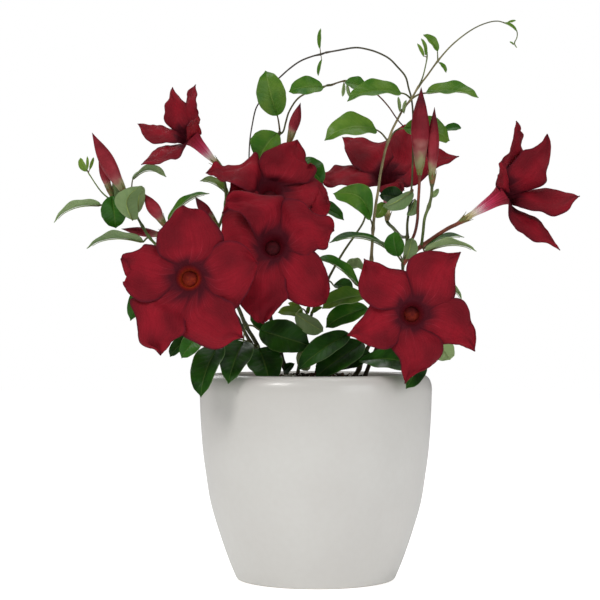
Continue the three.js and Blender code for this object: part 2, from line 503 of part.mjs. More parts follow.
// A lobe leaves the funnel forwards, bends outwards and leans, so that it overlaps the next one.
function buildPetal(mouth, way, tip, width) {
  const reach = tip.clone().sub(mouth);
  const outward = reach.clone().addScaledVector(way, -reach.dot(way)).normalize();
  const span = reach.length() - funnel.mouthRadius;
  const start = mouth.clone().addScaledVector(outward, funnel.mouthRadius - petal.thickness)
    .addScaledVector(way, -1.5);
  const rising = start.clone().addScaledVector(way, 0.22 * span).addScaledVector(outward, 0.25 * span);
  const nearTip = tip.clone().addScaledVector(reach.normalize(), -0.35 * span);
  const spine = new THREE.CubicBezierCurve3(start, rising, nearTip, tip);
  const level = way.clone().cross(outward);
  const frameAt = (s) => {
    const along = spine.getTangent(s);
    const lean = petal.lean * Math.sin(Math.PI * Math.min(1, 1.4 * s));
    const across = level.clone().applyAxisAngle(along, lean);
    return { middle: spine.getPoint(s), across, normal: along.clone().cross(across) };
  };
  const rootHalf = funnel.mouthRadius * petal.rootShare;
  const half = (s, y) => {
    const full = (width / 2) * (y > 0 ? petal.wideSide : petal.narrowSide);
    const swell = Math.sin((Math.PI / 2) * Math.min(1, s / petal.widest));
    const beyond = Math.max(0, s - petal.widest) / (1 - petal.widest);
    return Math.max(petal.tipHalf, (rootHalf + (full - rootHalf) * swell) * (1 - beyond ** 1.35));
  };
  return sheet(frameAt, half, () => 0, petal.thickness, 4);
}

// A slim spindle, widest beyond its middle.
function buildBud([, baseRow, tipRow, width]) {
  const base = place(baseRow);
  const length = place(tipRow).sub(base);
  const outline = [
    [0.2, 0.3], [0.4, 0.38], [0.6, 0.5], [0.75, 0.43], [0.92, 0.2],
  ].map(([share, swell]) => [swell * width, share * length.length()]);
  const profile = [[0, 0], [1.5, 0], ...outline, [0, length.length()]];
  return turned(profile, 7, base, length.normalize());
}

const plant = new THREE.Group();

function addPiece(name, solid, color, roughness) {
  const material = new THREE.MeshStandardMaterial({ color, roughness, metalness: 0 });
  const mesh = new THREE.Mesh(geometryOf(solid), material);
  mesh.name = name;
  plant.add(mesh);
}

addPiece("pot", buildPot(), colors.pot, 0.35);
addPiece("potting_soil", buildSoil(), colors.soil, 0.95);
for (const [name, runs] of Object.entries(vines)) {
  const ownLeaves = joinedLeaves.filter((row) => row[1] === name);
  const pieces = [...runs.map(buildRun), ...ownLeaves.map((row) => buildLeaf(row, true))];
  addPiece(name, join(pieces), colors.vine, 0.6);
}
for (const row of leaves) addPiece(row[0], buildLeaf(row, false), colors.leaf, 0.45);
for (const row of flowers) addPiece(row[0], buildFlower(row), colors.petal, 0.7);
for (const row of buds) addPiece(row[0], buildBud(row), colors.bud, 0.5);

export default plant;
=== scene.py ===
# A red-flowered mandevilla that climbs out of a glazed pot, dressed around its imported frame.
import math
import random

import bmesh
import bpy
from mathutils import Matrix, Quaternion, Vector, noise
from mathutils.geometry import interpolate_bezier


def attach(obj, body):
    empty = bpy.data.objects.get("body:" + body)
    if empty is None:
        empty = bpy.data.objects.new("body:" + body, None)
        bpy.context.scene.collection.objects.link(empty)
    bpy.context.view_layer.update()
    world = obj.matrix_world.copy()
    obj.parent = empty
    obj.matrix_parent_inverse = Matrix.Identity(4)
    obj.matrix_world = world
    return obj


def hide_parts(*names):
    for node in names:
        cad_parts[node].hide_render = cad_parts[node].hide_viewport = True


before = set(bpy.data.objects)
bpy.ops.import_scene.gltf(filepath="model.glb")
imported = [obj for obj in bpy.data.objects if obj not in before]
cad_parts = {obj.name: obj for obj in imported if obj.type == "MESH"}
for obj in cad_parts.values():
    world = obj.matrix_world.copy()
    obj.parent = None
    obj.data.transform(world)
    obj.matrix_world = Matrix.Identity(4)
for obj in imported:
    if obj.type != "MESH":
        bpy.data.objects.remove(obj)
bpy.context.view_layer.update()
scene = bpy.context.scene
mm = 0.001

# Layout rows are (across, up, back) in millimetres, as seen from this standing point.
viewer = {
    "across": -9.4, "distance": 1024, "height": 150, "tilt": 0.906,
    "lens": 102.4, "sensor": 36, "nearest": 50,
}


def place(row):
    across, up, back = row
    spread = 1 + back / viewer["distance"]
    return Vector((
        viewer["across"] + (across - viewer["across"]) * spread,
        back,
        viewer["height"] + (up - viewer["height"]) * spread,
    )) * mm


# A shade given in steps of 0 to 255, as the linear colour that the shaders take.
def tint(red, green, blue):
    levels = [step / 255 for step in (red, green, blue)]
    return (*[c / 12.92 if c <= 0.04045 else ((c + 0.055) / 1.055) ** 2.4 for c in levels], 1)


# A shader node with its inputs set or linked.
def put(tree, kind, inputs=None, **settings):
    made = tree.nodes.new("ShaderNode" + kind)
    for key, value in settings.items():
        setattr(made, key, value)
    for key, value in (inputs or {}).items():
        if isinstance(value, bpy.types.NodeSocket):
            tree.links.new(value, made.inputs[key])
        else:
            made.inputs[key].default_value = value
    return made


# The room: a camera, soft lamps, a white surround and a pale floor, in metres.
room = {
    "lamps": {
        "key": {"at": (-1.05, -1.15, 1.5), "size": 0.6, "power": 15, "color": (1, 0.985, 0.96)},
        "fill": {"at": (1.1, -1.2, 0.6), "size": 1.0, "power": 6.5, "color": (0.97, 0.985, 1)},
        "top": {"at": (0.1, 0.25, 1.35), "size": 0.8, "power": 4, "color": (1, 1, 1)},
        "rim": {"at": (-0.4, 1.2, 0.9), "size": 0.7, "power": 3, "color": (1, 1, 1)},
    },
    "aim": (0, 0, 0.17),
    "white": (1, 1, 1, 1),
    "surround": {"seen": 1.0, "mirrored": 0.1, "other": 0.3},
    "floorGlow": {"seen": 0.7, "mirrored": 0.0, "other": 0.35},
    "floorHalf": 3.0, "floorTint": (0.93, 0.93, 0.93, 1), "floorRoughness": 0.8,
}


# A level that is one value for what the camera sees, one for reflections and one for all other light.
def levelByRay(tree, seen, mirrored, other):
    path = put(tree, "LightPath")
    level = other
    for ray, value in (("Is Glossy Ray", mirrored), ("Is Camera Ray", seen)):
        level = put(tree, "Mix", {"Factor": path.outputs[ray], "A": level, "B": value}).outputs["Result"]
    return level


def setUpCamera():
    camera = bpy.data.objects.new("viewing_camera", bpy.data.cameras.new("viewing_camera"))
    camera.location = Vector((viewer["across"], -viewer["distance"], viewer["height"])) * mm
    camera.rotation_euler = (math.radians(90 + viewer["tilt"]), 0, 0)
    camera.data.lens = viewer["lens"]
    camera.data.sensor_width = viewer["sensor"]
    camera.data.clip_start = viewer["nearest"] * mm
    scene.collection.objects.link(camera)
    scene.camera = camera


def setUpLamps():
    for name, lamp in room["lamps"].items():
        data = bpy.data.lights.new("lamp_" + name, "AREA")
        data.size = lamp["size"]
        data.energy = lamp["power"]
        data.color = lamp["color"]
        made = bpy.data.objects.new("lamp_" + name, data)
        made.location = lamp["at"]
        aim = Vector(room["aim"]) - Vector(lamp["at"])
        made.rotation_euler = aim.to_track_quat("-Z", "Y").to_euler()
        scene.collection.objects.link(made)


def setUpSurround():
    world = bpy.data.worlds.new("white_surround")
    world.use_nodes = True
    scene.world = world
    shade = world.node_tree.nodes["Background"]
    shade.inputs["Color"].default_value = room["white"]
    level = levelByRay(world.node_tree, **room["surround"])
    world.node_tree.links.new(level, shade.inputs["Strength"])
    scene.view_settings.view_transform = "Standard"


def layFloor():
    mesh = bmesh.new()
    bmesh.ops.create_grid(mesh, x_segments=2, y_segments=2, size=room["floorHalf"])
    data = bpy.data.meshes.new("pale_floor")
    mesh.to_mesh(data)
    mesh.free()
    floor = bpy.data.objects.new("pale_floor", data)
    scene.collection.objects.link(floor)
    pale = bpy.data.materials.new("pale_floor")
    pale.use_nodes = True
    surface = pale.node_tree.nodes["Principled BSDF"]
    surface.inputs["Base Color"].default_value = room["floorTint"]
    surface.inputs["Roughness"].default_value = room["floorRoughness"]
    surface.inputs["Specular IOR Level"].default_value = 0
    surface.inputs["Emission Color"].default_value = room["white"]
    glow = levelByRay(pale.node_tree, **room["floorGlow"])
    pale.node_tree.links.new(glow, surface.inputs["Emission Strength"])
    data.materials.append(pale)


setUpCamera()
setUpLamps()
setUpSurround()
layFloor()
print("room: camera, lamps, surround and floor")


def reckon(tree, operation, first, second=0.0, clamp=False):
    return put(tree, "Math", {0: first, 1: second}, operation=operation, use_clamp=clamp).outputs[0]


def times(tree, first, second):
    return reckon(tree, "MULTIPLY", first, second)


def oneLess(tree, value):
    return reckon(tree, "SUBTRACT", 1.0, value)


# 0 below the low value, 1 above the high one, and a soft step between them.
def rise(tree, value, low, high):
    made = put(tree, "MapRange", {"Value": value, "From Min": low, "From Max": high},
               interpolation_type="SMOOTHSTEP")
    return made.outputs["Result"]


# A share of 0 to 1 spread over the values from low to high.
def span(tree, share, low, high):
    return put(tree, "MapRange", {"Value": share, "To Min": low, "To Max": high}).outputs["Result"]


def blendTints(tree, factor, first, second, kind="MIX"):
    made = put(tree, "Mix", {0: factor, 6: first, 7: second}, data_type="RGBA", blend_type=kind)
    return made.outputs[2]  # inputs 6 and 7 and output 2 are the colour sockets


# Lays a shade over a colour where a mask shows, as strongly as the share says.
def stain(tree, color, mask, share, shade, kind="MIX"):
    return blendTints(tree, span(tree, mask, 0, share), color, shade, kind)


def ramp(tree, factor, stops):
    made = put(tree, "ValToRGB", {0: factor})
    marks = made.color_ramp.elements
    while len(marks) < len(stops):
        marks.new(0.5)
    for mark, (at, shade) in zip(marks, stops):
        mark.position = at
        mark.color = shade
    return made.outputs["Color"]


def grain(tree, where, scale, detail):
    return put(tree, "TexNoise", {"Vector": where, "Scale": scale, "Detail": detail}).outputs["Fac"]


# A value that the mesh carries at its points.
def carried(tree, name):
    return put(tree, "Attribute", attribute_name=name).outputs["Fac"]


def newGroup(name, inputs, outputs):
    tree = bpy.data.node_groups.new(name, "ShaderNodeTree")
    for label, value in inputs.items():
        socket = tree.interface.new_socket(label, in_out="INPUT", socket_type="NodeSocketFloat")
        socket.default_value = value
    for label in outputs:
        tree.interface.new_socket(label, in_out="OUTPUT", socket_type="NodeSocketFloat")
    return tree, tree.nodes.new("NodeGroupInput").outputs, tree.nodes.new("NodeGroupOutput").inputs


def useGroup(tree, name, **values):
    made = tree.nodes.new("ShaderNodeGroup")
    made.node_tree = bpy.data.node_groups[name]
    for label, value in values.items():
        made.inputs[label].default_value = value
    return made.outputs


# Soft patches with finer specks on them, fixed to the object.
def makeMottle():
    tree, given, result = newGroup("mottle", {"patch": 60, "speck": 600}, ["patches", "specks"])
    where = put(tree, "TexCoord").outputs["Object"]
    for label, scale, detail in (("patches", given["patch"], 2), ("specks", given["speck"], 3)):
        tree.links.new(rise(tree, grain(tree, where, scale, detail), 0.3, 0.7), result[label])


# Midrib and side veins of a blade whose map runs from side to side and from stalk to tip.
def makeLeafVeins():
    tree, given, result = newGroup(
        "leafVeins", {"pairs": 9, "slant": 0.2, "fineness": 0.16, "midrib": 0.1},
        ["midrib", "veins", "margin", "relief"])
    parts = put(tree, "SeparateXYZ", {0: put(tree, "UVMap", uv_map="growth").outputs["UV"]}).outputs
    aside = reckon(tree, "ABSOLUTE", reckon(tree, "SUBTRACT", times(tree, parts["X"], 2.0), 1.0))
    slope = times(tree, reckon(tree, "POWER", aside, 0.85), given["slant"])
    ahead = reckon(tree, "SUBTRACT", parts["Y"], slope)
    wave = reckon(tree, "FRACT", times(tree, ahead, given["pairs"]))
    near = reckon(tree, "ABSOLUTE", reckon(tree, "SUBTRACT", wave, 0.5))  # 0.5 on a vein, 0 between two
    veins = rise(tree, near, reckon(tree, "SUBTRACT", 0.5, given["fineness"]), 0.5)
    veins = times(tree, veins, oneLess(tree, rise(tree, aside, 0.55, 0.98)))
    midrib = oneLess(tree, rise(tree, aside, 0.0, given["midrib"]))
    pillow = oneLess(tree, times(tree, near, 2.0))
    deep = reckon(tree, "MAXIMUM", midrib, times(tree, veins, 0.6))
    tree.links.new(midrib, result["midrib"])
    tree.links.new(veins, result["veins"])
    tree.links.new(rise(tree, aside, 0.9, 1.0), result["margin"])
    tree.links.new(reckon(tree, "SUBTRACT", times(tree, pillow, 0.5), deep), result["relief"])


# Marks of a corolla lobe: fine streaks that run to the throat, soft patches where fold shade is painted, a
# margin where shade is painted, how far along the lobe a point lies and how near its edge.
def makeLobeMarks():
    tree, given, result = newGroup(
        "lobeMarks", {"streaks": 34, "margin": 0.06}, ["streaks", "margin", "along", "shadedFolds", "edge"])
    uv = put(tree, "UVMap", uv_map="growth").outputs["UV"]
    parts = put(tree, "SeparateXYZ", {0: uv}).outputs
    centred = reckon(tree, "SUBTRACT", parts["X"], 0.5)
    aside = reckon(tree, "ABSOLUTE", centred)
    wide = put(tree, "CombineXYZ", {0: times(tree, centred, given["streaks"]),
                                    1: times(tree, parts["Y"], 1.3), 2: 0.0}).outputs[0]
    inside = reckon(tree, "SUBTRACT", 0.5, aside)
    end = times(tree, oneLess(tree, parts["Y"]), 0.9)
    nearest = reckon(tree, "MINIMUM", inside, end)
    ragged = grain(tree, uv, 5.0, 2)
    reach = times(tree, given["margin"], times(tree, ragged, 2.0))
    tree.links.new(rise(tree, grain(tree, wide, 1.0, 3), 0.3, 0.7), result["streaks"])
    # The margin mask marks where the lobes get painted shade for the velvet's darker-looking edges.
    tree.links.new(oneLess(tree, rise(tree, nearest, 0.0, reach)), result["margin"])
    tree.links.new(parts["Y"], result["along"])
    tree.links.new(times(tree, aside, 2.0), result["edge"])
    # Soft patches that stand in for the shade of folds; the lobe fronts paint them dark.
    tree.links.new(rise(tree, grain(tree, uv, 2.6, 1), 0.35, 0.65), result["shadedFolds"])


# Each finish: the scales of its patches and specks, its roughness (one value, or the least and the greatest),
# the depth of its relief in millimetres, its shine and, on the glaze, its coat.
finishes = {
    "leafTop": {"patch": 90, "speck": 1400, "rough": (0.28, 0.38), "relief": 0.06, "shine": 0.17},
    "leafUnder": {"patch": 120, "speck": 1600, "rough": (0.5, 0.62), "relief": 0.1, "shine": 0.2},
    "stemSkin": {"patch": 160, "speck": 900, "rough": (0.42, 0.6), "relief": 0.2, "shine": 0.4},
    "petalFront": {"patch": 45, "speck": 1800, "rough": (0.6, 0.75), "relief": 0.2, "shine": 0.12},
    "petalBack": {"patch": 90, "speck": 1500, "rough": (0.55, 0.7), "relief": 0.15, "shine": 0.14},
    "anther": {"patch": 500, "speck": 1800, "rough": 0.6, "relief": 0.2, "shine": 0.2},
    "budSkin": {"patch": 110, "speck": 1500, "rough": (0.44, 0.58), "relief": 0.1, "shine": 0.18},
    "potGlaze": {"patch": 14, "speck": 260, "rough": (0.3, 0.36), "relief": 0.03, "shine": 0.45,
                 "coat": {"Weight": 0.3, "Roughness": 0.12}},
    "bareClay": {"patch": 60, "speck": 900, "rough": 0.85, "relief": 0.4, "shine": 0.3},
    "peat": {"patch": 220, "speck": 1500, "rough": 0.95, "relief": 0.8, "shine": 0.3},
    "bark": {"patch": 300, "speck": 1400, "rough": 0.85, "relief": 0.6, "shine": 0.3},
    "perlite": {"patch": 500, "speck": 1600, "rough": 0.9, "relief": 0.6, "shine": 0.3},
    "sepalSkin": {"patch": 260, "speck": 1500, "rough": 0.5, "relief": 0.2, "shine": 0.3},
}
plainTints = {
    "bareClay": (tint(196, 182, 158), tint(178, 160, 134)), "peat": (tint(34, 26, 20), tint(58, 42, 30)),
    "bark": (tint(92, 62, 38), tint(58, 38, 24)), "perlite": (tint(226, 222, 210), tint(196, 190, 176)),
    "sepalSkin": (tint(104, 128, 64), tint(132, 92, 60)),
}


def newMaterial(name):
    made = bpy.data.materials.new(name)
    made.use_nodes = True
    look = finishes[name]
    return made.node_tree, useGroup(made.node_tree, "mottle", patch=look["patch"], speck=look["speck"])


# Gives a material its colour, relief, shine and roughness, which follows a mask unless it is one value.
def finishMaterial(tree, name, color, uneven, height):
    look = finishes[name]
    surface = tree.nodes["Principled BSDF"]
    tree.links.new(color, surface.inputs["Base Color"])
    if isinstance(look["rough"], tuple):
        tree.links.new(span(tree, uneven, *look["rough"]), surface.inputs["Roughness"])
    else:
        surface.inputs["Roughness"].default_value = look["rough"]
    bump = put(tree, "Bump", {"Height": height, "Distance": look["relief"] * mm, "Strength": 1.0})
    tree.links.new(bump.outputs["Normal"], surface.inputs["Normal"])
    surface.inputs["Specular IOR Level"].default_value = look["shine"]
    for label, value in look.get("coat", {}).items():
        surface.inputs["Coat " + label].default_value = value


leafTints = {
    "dark": tint(17, 46, 10), "middle": tint(46, 98, 22), "young": tint(108, 138, 50),
    "underDark": tint(84, 108, 72), "underYoung": tint(146, 168, 114), "vein": tint(144, 168, 90),
}


# A blade carries how young it is as its tone, and how large it is as its along.
def makeLeafTop():
    tree, spots = newMaterial("leafTop")
    young, large = carried(tree, "tone"), carried(tree, "along")
    lines = useGroup(tree, "leafVeins")
    level = reckon(tree, "ADD", young, span(tree, spots["patches"], -0.12, 0.12), clamp=True)
    flesh = ramp(tree, level, [(0, leafTints["dark"]), (0.5, leafTints["middle"]), (1, leafTints["young"])])
    pale = reckon(tree, "MAXIMUM", times(tree, lines["midrib"], 0.4), times(tree, lines["veins"], 0.05))
    pale = times(tree, pale, span(tree, young, 0.3, 1.0))
    veined = blendTints(tree, pale, flesh, leafTints["vein"])
    edged = stain(tree, veined, lines["margin"], 0.12, leafTints["vein"])
    finishMaterial(tree, "leafTop", edged, spots["specks"], times(tree, lines["relief"], large))


def makeLeafUnder():
    tree, spots = newMaterial("leafUnder")
    young, large = carried(tree, "tone"), carried(tree, "along")
    lines = useGroup(tree, "leafVeins", fineness=0.12)
    flesh = blendTints(tree, young, leafTints["underDark"], leafTints["underYoung"])
    shaded = stain(tree, flesh, spots["patches"], 0.25, leafTints["middle"])
    lined = times(tree, lines["veins"], span(tree, large, 0, 0.2))
    veined = blendTints(tree, lined, shaded, leafTints["vein"])
    raised = times(tree, lines["relief"], span(tree, large, 0, -1))
    finishMaterial(tree, "leafUnder", veined, spots["specks"], raised)


def makeStemSkin():
    tree, spots = newMaterial("stemSkin")
    skin = put(tree, "Attribute", attribute_name="skin").outputs["Color"]
    where = put(tree, "TexCoord").outputs["Object"]
    long = put(tree, "Mapping", {"Vector": where, "Scale": (1, 1, 0.25)}).outputs["Vector"]
    fibres = grain(tree, long, 1500, 3)
    darker = stain(tree, skin, spots["patches"], 0.45, tint(60, 42, 26), "MULTIPLY")
    marked = stain(tree, darker, fibres, 0.3, tint(178, 164, 112), "OVERLAY")
    finishMaterial(tree, "stemSkin", marked, spots["specks"], fibres)


petalTints = {
    "red": tint(140, 18, 34), "bright": tint(158, 24, 41), "dark": tint(84, 11, 22),
    "plum": tint(62, 14, 30), "ring": tint(74, 10, 24), "amber": tint(164, 62, 18),
    "rust": tint(142, 32, 20), "deep": tint(112, 12, 26), "ridgeHighlight": tint(176, 66, 80),
    # outside of the funnel, from its foot to the lobes
    "outside": [
        (0.0, tint(176, 176, 104)), (0.05, tint(214, 206, 150)), (0.085, tint(242, 232, 222)),
        (0.11, tint(236, 190, 200)), (0.14, tint(214, 84, 122)), (0.19, tint(188, 44, 78)),
        (0.24, tint(150, 30, 52)), (0.33, tint(140, 30, 42)), (0.5, tint(150, 19, 35)),
    ],
}


# A flower carries how golden its throat is as its tone, dimmed on the throat's upper side as painted shade.
def makePetalFront():
    tree, spots = newMaterial("petalFront")
    golden = carried(tree, "tone")
    marks = useGroup(tree, "lobeMarks")
    base = stain(tree, petalTints["red"], marks["streaks"], 0.5, petalTints["bright"])
    # Painted shade: soft patches darkened as if folds shaded them.
    base = stain(tree, base, marks["shadedFolds"], 0.5, petalTints["dark"])
    base = stain(tree, base, spots["patches"], 0.4, petalTints["dark"])
    # Painted shade: the lobe's margin darkened to plum, as the velvet looks darker at its edges.
    base = stain(tree, base, marks["margin"], 0.7, petalTints["plum"])
    reach = reckon(tree, "ADD", marks["along"], span(tree, marks["shadedFolds"], -0.05, 0.03))
    reach = reckon(tree, "ADD", reach, span(tree, golden, -0.04, 0.02))
    gold = ramp(tree, marks["along"], [
        (0.0, petalTints["amber"]), (0.225, petalTints["amber"]), (0.25, petalTints["rust"]),
        (0.272, petalTints["ring"])])
    plain = ramp(tree, marks["along"], [
        (0.0, petalTints["deep"]), (0.2, petalTints["deep"]), (0.27, petalTints["ring"])])
    throat = blendTints(tree, golden, plain, gold)
    whole = blendTints(tree, rise(tree, reach, 0.27, 0.37), throat, base)
    near = times(tree, rise(tree, reach, 0.27, 0.31), oneLess(tree, rise(tree, reach, 0.34, 0.46)))
    # Painted highlight: pale pink streaks near the throat, as if light caught raised ridges.
    ridgeHighlights = times(tree, near, rise(tree, marks["streaks"], 0.75, 1.0))
    whole = stain(tree, whole, ridgeHighlights, 0.2, petalTints["ridgeHighlight"])
    # Painted shade in the creases where neighbouring lobes meet near the throat.
    creaseShade = times(tree, near, rise(tree, marks["edge"], 0.68, 0.95))
    whole = stain(tree, whole, creaseShade, 0.75, petalTints["ring"])
    height = reckon(tree, "ADD", times(tree, marks["streaks"], 0.7), times(tree, spots["specks"], 0.3))
    finishMaterial(tree, "petalFront", whole, spots["specks"], height)


def makePetalBack():
    tree, spots = newMaterial("petalBack")
    marks = useGroup(tree, "lobeMarks", streaks=14)
    reach = reckon(tree, "ADD", marks["along"], span(tree, marks["streaks"], -0.035, 0.035))
    base = ramp(tree, reach, petalTints["outside"])
    mild = stain(tree, base, marks["streaks"], 0.25, tint(170, 60, 84), "MULTIPLY")
    # Painted shade: the lobe's margin darkened on the outside too.
    shaded = stain(tree, mild, marks["margin"], 0.5, petalTints["dark"])
    whole = stain(tree, shaded, spots["patches"], 0.2, petalTints["dark"])
    finishMaterial(tree, "petalBack", whole, marks["shadedFolds"], marks["streaks"])


# The plain cone's dark crimson is partly its own colour and partly painted shade, darkened to match the
# shaded throat.
antherTints = {"gold": (tint(162, 52, 20), tint(132, 28, 18)), "plain": (tint(88, 9, 21), tint(68, 8, 18))}


def makeAnther():
    tree, spots = newMaterial("anther")
    gold = blendTints(tree, spots["patches"], *antherTints["gold"])
    plain = blendTints(tree, spots["patches"], *antherTints["plain"])
    whole = blendTints(tree, carried(tree, "tone"), plain, gold)
    finishMaterial(tree, "anther", whole, spots["patches"], spots["specks"])


# Both from the foot of a bud to its tip.
budTints = {
    "fresh": [
        (0.0, tint(140, 152, 92)), (0.12, tint(180, 168, 132)), (0.26, tint(190, 90, 98)),
        (0.42, tint(178, 54, 66)), (0.75, tint(152, 34, 48)), (1.0, tint(84, 14, 32)),
    ],
    "ripe": [
        (0.0, tint(112, 126, 72)), (0.15, tint(142, 142, 100)), (0.25, tint(146, 96, 88)),
        (0.35, tint(126, 26, 40)), (0.75, tint(110, 14, 28)), (1.0, tint(58, 10, 26)),
    ],
    "worn": tint(90, 20, 40),
}


def makeBudSkin():
    tree, spots = newMaterial("budSkin")
    along = carried(tree, "along")
    shifted = reckon(tree, "ADD", along, span(tree, spots["patches"], -0.06, 0.06), clamp=True)
    fresh, ripe = ramp(tree, shifted, budTints["fresh"]), ramp(tree, shifted, budTints["ripe"])
    skin = blendTints(tree, carried(tree, "tone"), ripe, fresh)
    worn = stain(tree, skin, spots["patches"], 0.25, budTints["worn"], "MULTIPLY")
    finishMaterial(tree, "budSkin", worn, spots["specks"], spots["specks"])


# The glaze's tints, with a darker one laid towards the top of the pot as painted shade.
potTints = {
    "first": tint(211, 210, 206), "second": tint(206, 204, 200), "speck": tint(196, 192, 186),
    "shoulder": tint(195, 192, 187), "shoulderFrom": 0.07, "shoulderTo": 0.122,
}


def makePotGlaze():
    tree, spots = newMaterial("potGlaze")
    parts = put(tree, "SeparateXYZ", {0: put(tree, "TexCoord").outputs["Object"]}).outputs
    base = blendTints(tree, spots["patches"], potTints["first"], potTints["second"])
    base = stain(tree, base, spots["specks"], 0.1, potTints["speck"])
    # Painted shade: the glaze darkens towards the top of the pot.
    high = rise(tree, parts["Z"], potTints["shoulderFrom"], potTints["shoulderTo"])
    base = stain(tree, base, high, 0.5, potTints["shoulder"])
    finishMaterial(tree, "potGlaze", base, spots["patches"], spots["specks"])


def makePlain(name, first, second):
    tree, spots = newMaterial(name)
    base = blendTints(tree, spots["patches"], first, second)
    finishMaterial(tree, name, base, spots["patches"], spots["specks"])


for make in (makeMottle, makeLeafVeins, makeLobeMarks, makeLeafTop, makeLeafUnder, makeStemSkin,
             makePetalFront, makePetalBack, makeAnther, makeBudSkin, makePotGlaze):
    make()
for name, shades in plainTints.items():
    makePlain(name, *shades)
print("materials:", len(bpy.data.materials))


def newMesh():
    mesh = bmesh.new()
    mesh.loops.layers.uv.new("growth")
    for name in ("tone", "along"):
        mesh.verts.layers.float.new(name)
    mesh.verts.layers.float_color.new("skin")
    return mesh


# 0 at the low value, 1 at the high one, and a soft step between them.
def smooth(low, high, value):
    share = min(1.0, max(0.0, (value - low) / (high - low)))
    return share * share * (3 - 2 * share)


def mixed(first, second, share):
    return first + (second - first) * share


def markTone(mesh, verts, tone):
    for vert in verts:
        vert[mesh.verts.layers.float["tone"]] = tone


def updateNormals(faces, verts):
    for face in faces:
        face.normal_update()
    for vert in verts:
        vert.normal_update()


# A thin sheet shaped from a grid: shape gives a point for shares of its width and length.
def addSheet(mesh, shape, columns, rows, thickness, top, under, spacing=lambda v: v, raised=None):
    verts = bmesh.ops.create_grid(mesh, x_segments=columns, y_segments=rows, size=0.5, calc_uvs=True)["verts"]
    uvs = mesh.loops.layers.uv["growth"]
    made = set(verts)
    faces = [face for face in mesh.faces if face.verts[0] in made]
    for face in faces:
        face.material_index = top
        for loop in face.loops:
            loop[uvs].uv.y = spacing(loop[uvs].uv.y)
    shares = {vert: (min(1, max(0, vert.co.x + 0.5)), spacing(min(1, max(0, vert.co.y + 0.5))))
              for vert in verts}
    for vert in verts:
        vert.co = shape(*shares[vert])
    if raised:
        updateNormals(faces, verts)
        for vert in verts:
            vert.co -= vert.normal * raised(*shares[vert]) * mm
    if thickness:
        thicken(mesh, faces, thickness, under)
    return verts


# Gives a sheet its thickness: an extruded copy stays in its place and the old faces become the underside.
def thicken(mesh, faces, thickness, under):
    verts = {vert for face in faces for vert in face.verts}
    updateNormals(faces, verts)
    moves = {vert: vert.normal * thickness for vert in verts}
    bmesh.ops.extrude_face_region(mesh, geom=faces, use_keep_orig=True)
    for vert, move in moves.items():
        vert.co -= move
    for face in faces:
        face.material_index = under


# The place and turn of a ring that is square to a stalk, with as little twist from the last one as can be.
def ringFrame(point, along, side, radius):
    side = (side - along * side.dot(along)).normalized()
    turn = Matrix((side, along.cross(side), along)).transposed().to_4x4()
    return Matrix.Translation(point) @ turn @ Matrix.Diagonal((radius, radius, radius, 1)), side


# A round stalk along points: a capped circle extruded from ring to ring.
def addTube(mesh, points, radii, sides, slot, skins, startAlong=None):
    last = len(points) - 1
    side = Vector((0.3, 1, 0.2))  # any way that no stalk starts
    before = None
    ring = []
    faces = []
    for i, point in enumerate(points):
        along = (points[min(last, i + 1)] - points[max(0, i - 1)]).normalized()
        if i == 0 and startAlong:
            along = startAlong
        frameHere, side = ringFrame(point, along, side, radii[i])
        if i == 0:
            made = bmesh.ops.create_circle(mesh, cap_ends=True, segments=sides, radius=1)["verts"]
            bmesh.ops.transform(mesh, matrix=frameHere, verts=made)
            cap = made[0].link_faces[0]
            ring = cap.edges[:]
            cap.normal_flip()
            faces.append(cap)
        else:
            grown = bmesh.ops.extrude_edge_only(mesh, edges=ring)["geom"]
            made = [part for part in grown if isinstance(part, bmesh.types.BMVert)]
            newVerts = set(made)
            ring = [part for part in grown if isinstance(part, bmesh.types.BMEdge)
                    and part.verts[0] in newVerts and part.verts[1] in newVerts]
            faces += [part for part in grown if isinstance(part, bmesh.types.BMFace)]
            bmesh.ops.transform(mesh, matrix=frameHere @ before.inverted(), verts=made)
        for vert in made:
            vert[mesh.verts.layers.float_color["skin"]] = skins[i]
        before = frameHere
    faces += bmesh.ops.contextual_create(mesh, geom=ring)["faces"]
    for face in faces:
        face.material_index = slot


# A turned shape: a profile of (radius, height) pairs in metres, spun round +Z and closed at the axis.
def addTurned(mesh, profile, steps, slot, matrix=None):
    others = set(mesh.verts)
    verts = [mesh.verts.new((radius, 0, height)) for radius, height in profile]
    edges = [mesh.edges.new(pair) for pair in zip(verts, verts[1:])]
    bmesh.ops.spin(mesh, geom=verts + edges, cent=(0, 0, 0), axis=(0, 0, 1), angle=math.tau,
                   steps=steps, use_merge=True)
    bmesh.ops.remove_doubles(mesh, verts=[vert for vert in mesh.verts if vert not in others], dist=1e-6)
    verts = [vert for vert in mesh.verts if vert not in others]
    faces = [face for face in mesh.faces if face.verts[0] not in others]
    bmesh.ops.recalc_face_normals(mesh, faces=faces)
    for face in faces:
        face.material_index = slot
    if matrix:
        bmesh.ops.transform(mesh, matrix=matrix, verts=verts)
    return verts, faces


def pointing(point, way):
    return Matrix.Translation(point) @ way.to_track_quat("Z", "Y").to_matrix().to_4x4()


# A smooth line through points, with a point about every step.
def smoothLine(points, step, startAlong=None):
    last = len(points) - 1
    slopes = [(points[min(last, i + 1)] - points[max(0, i - 1)]) for i in range(last + 1)]
    if startAlong:
        slopes[0] = startAlong
    line = [points[0].copy()]
    for i in range(last):
        first, second = points[i], points[i + 1]
        length = (second - first).length
        count = max(2, round(length / step) + 1)
        reach = length / 3
        bend = interpolate_bezier(first, first + slopes[i].normalized() * reach,
                                  second - slopes[i + 1].normalized() * reach, second, count)
        line += bend[1:]
    return line


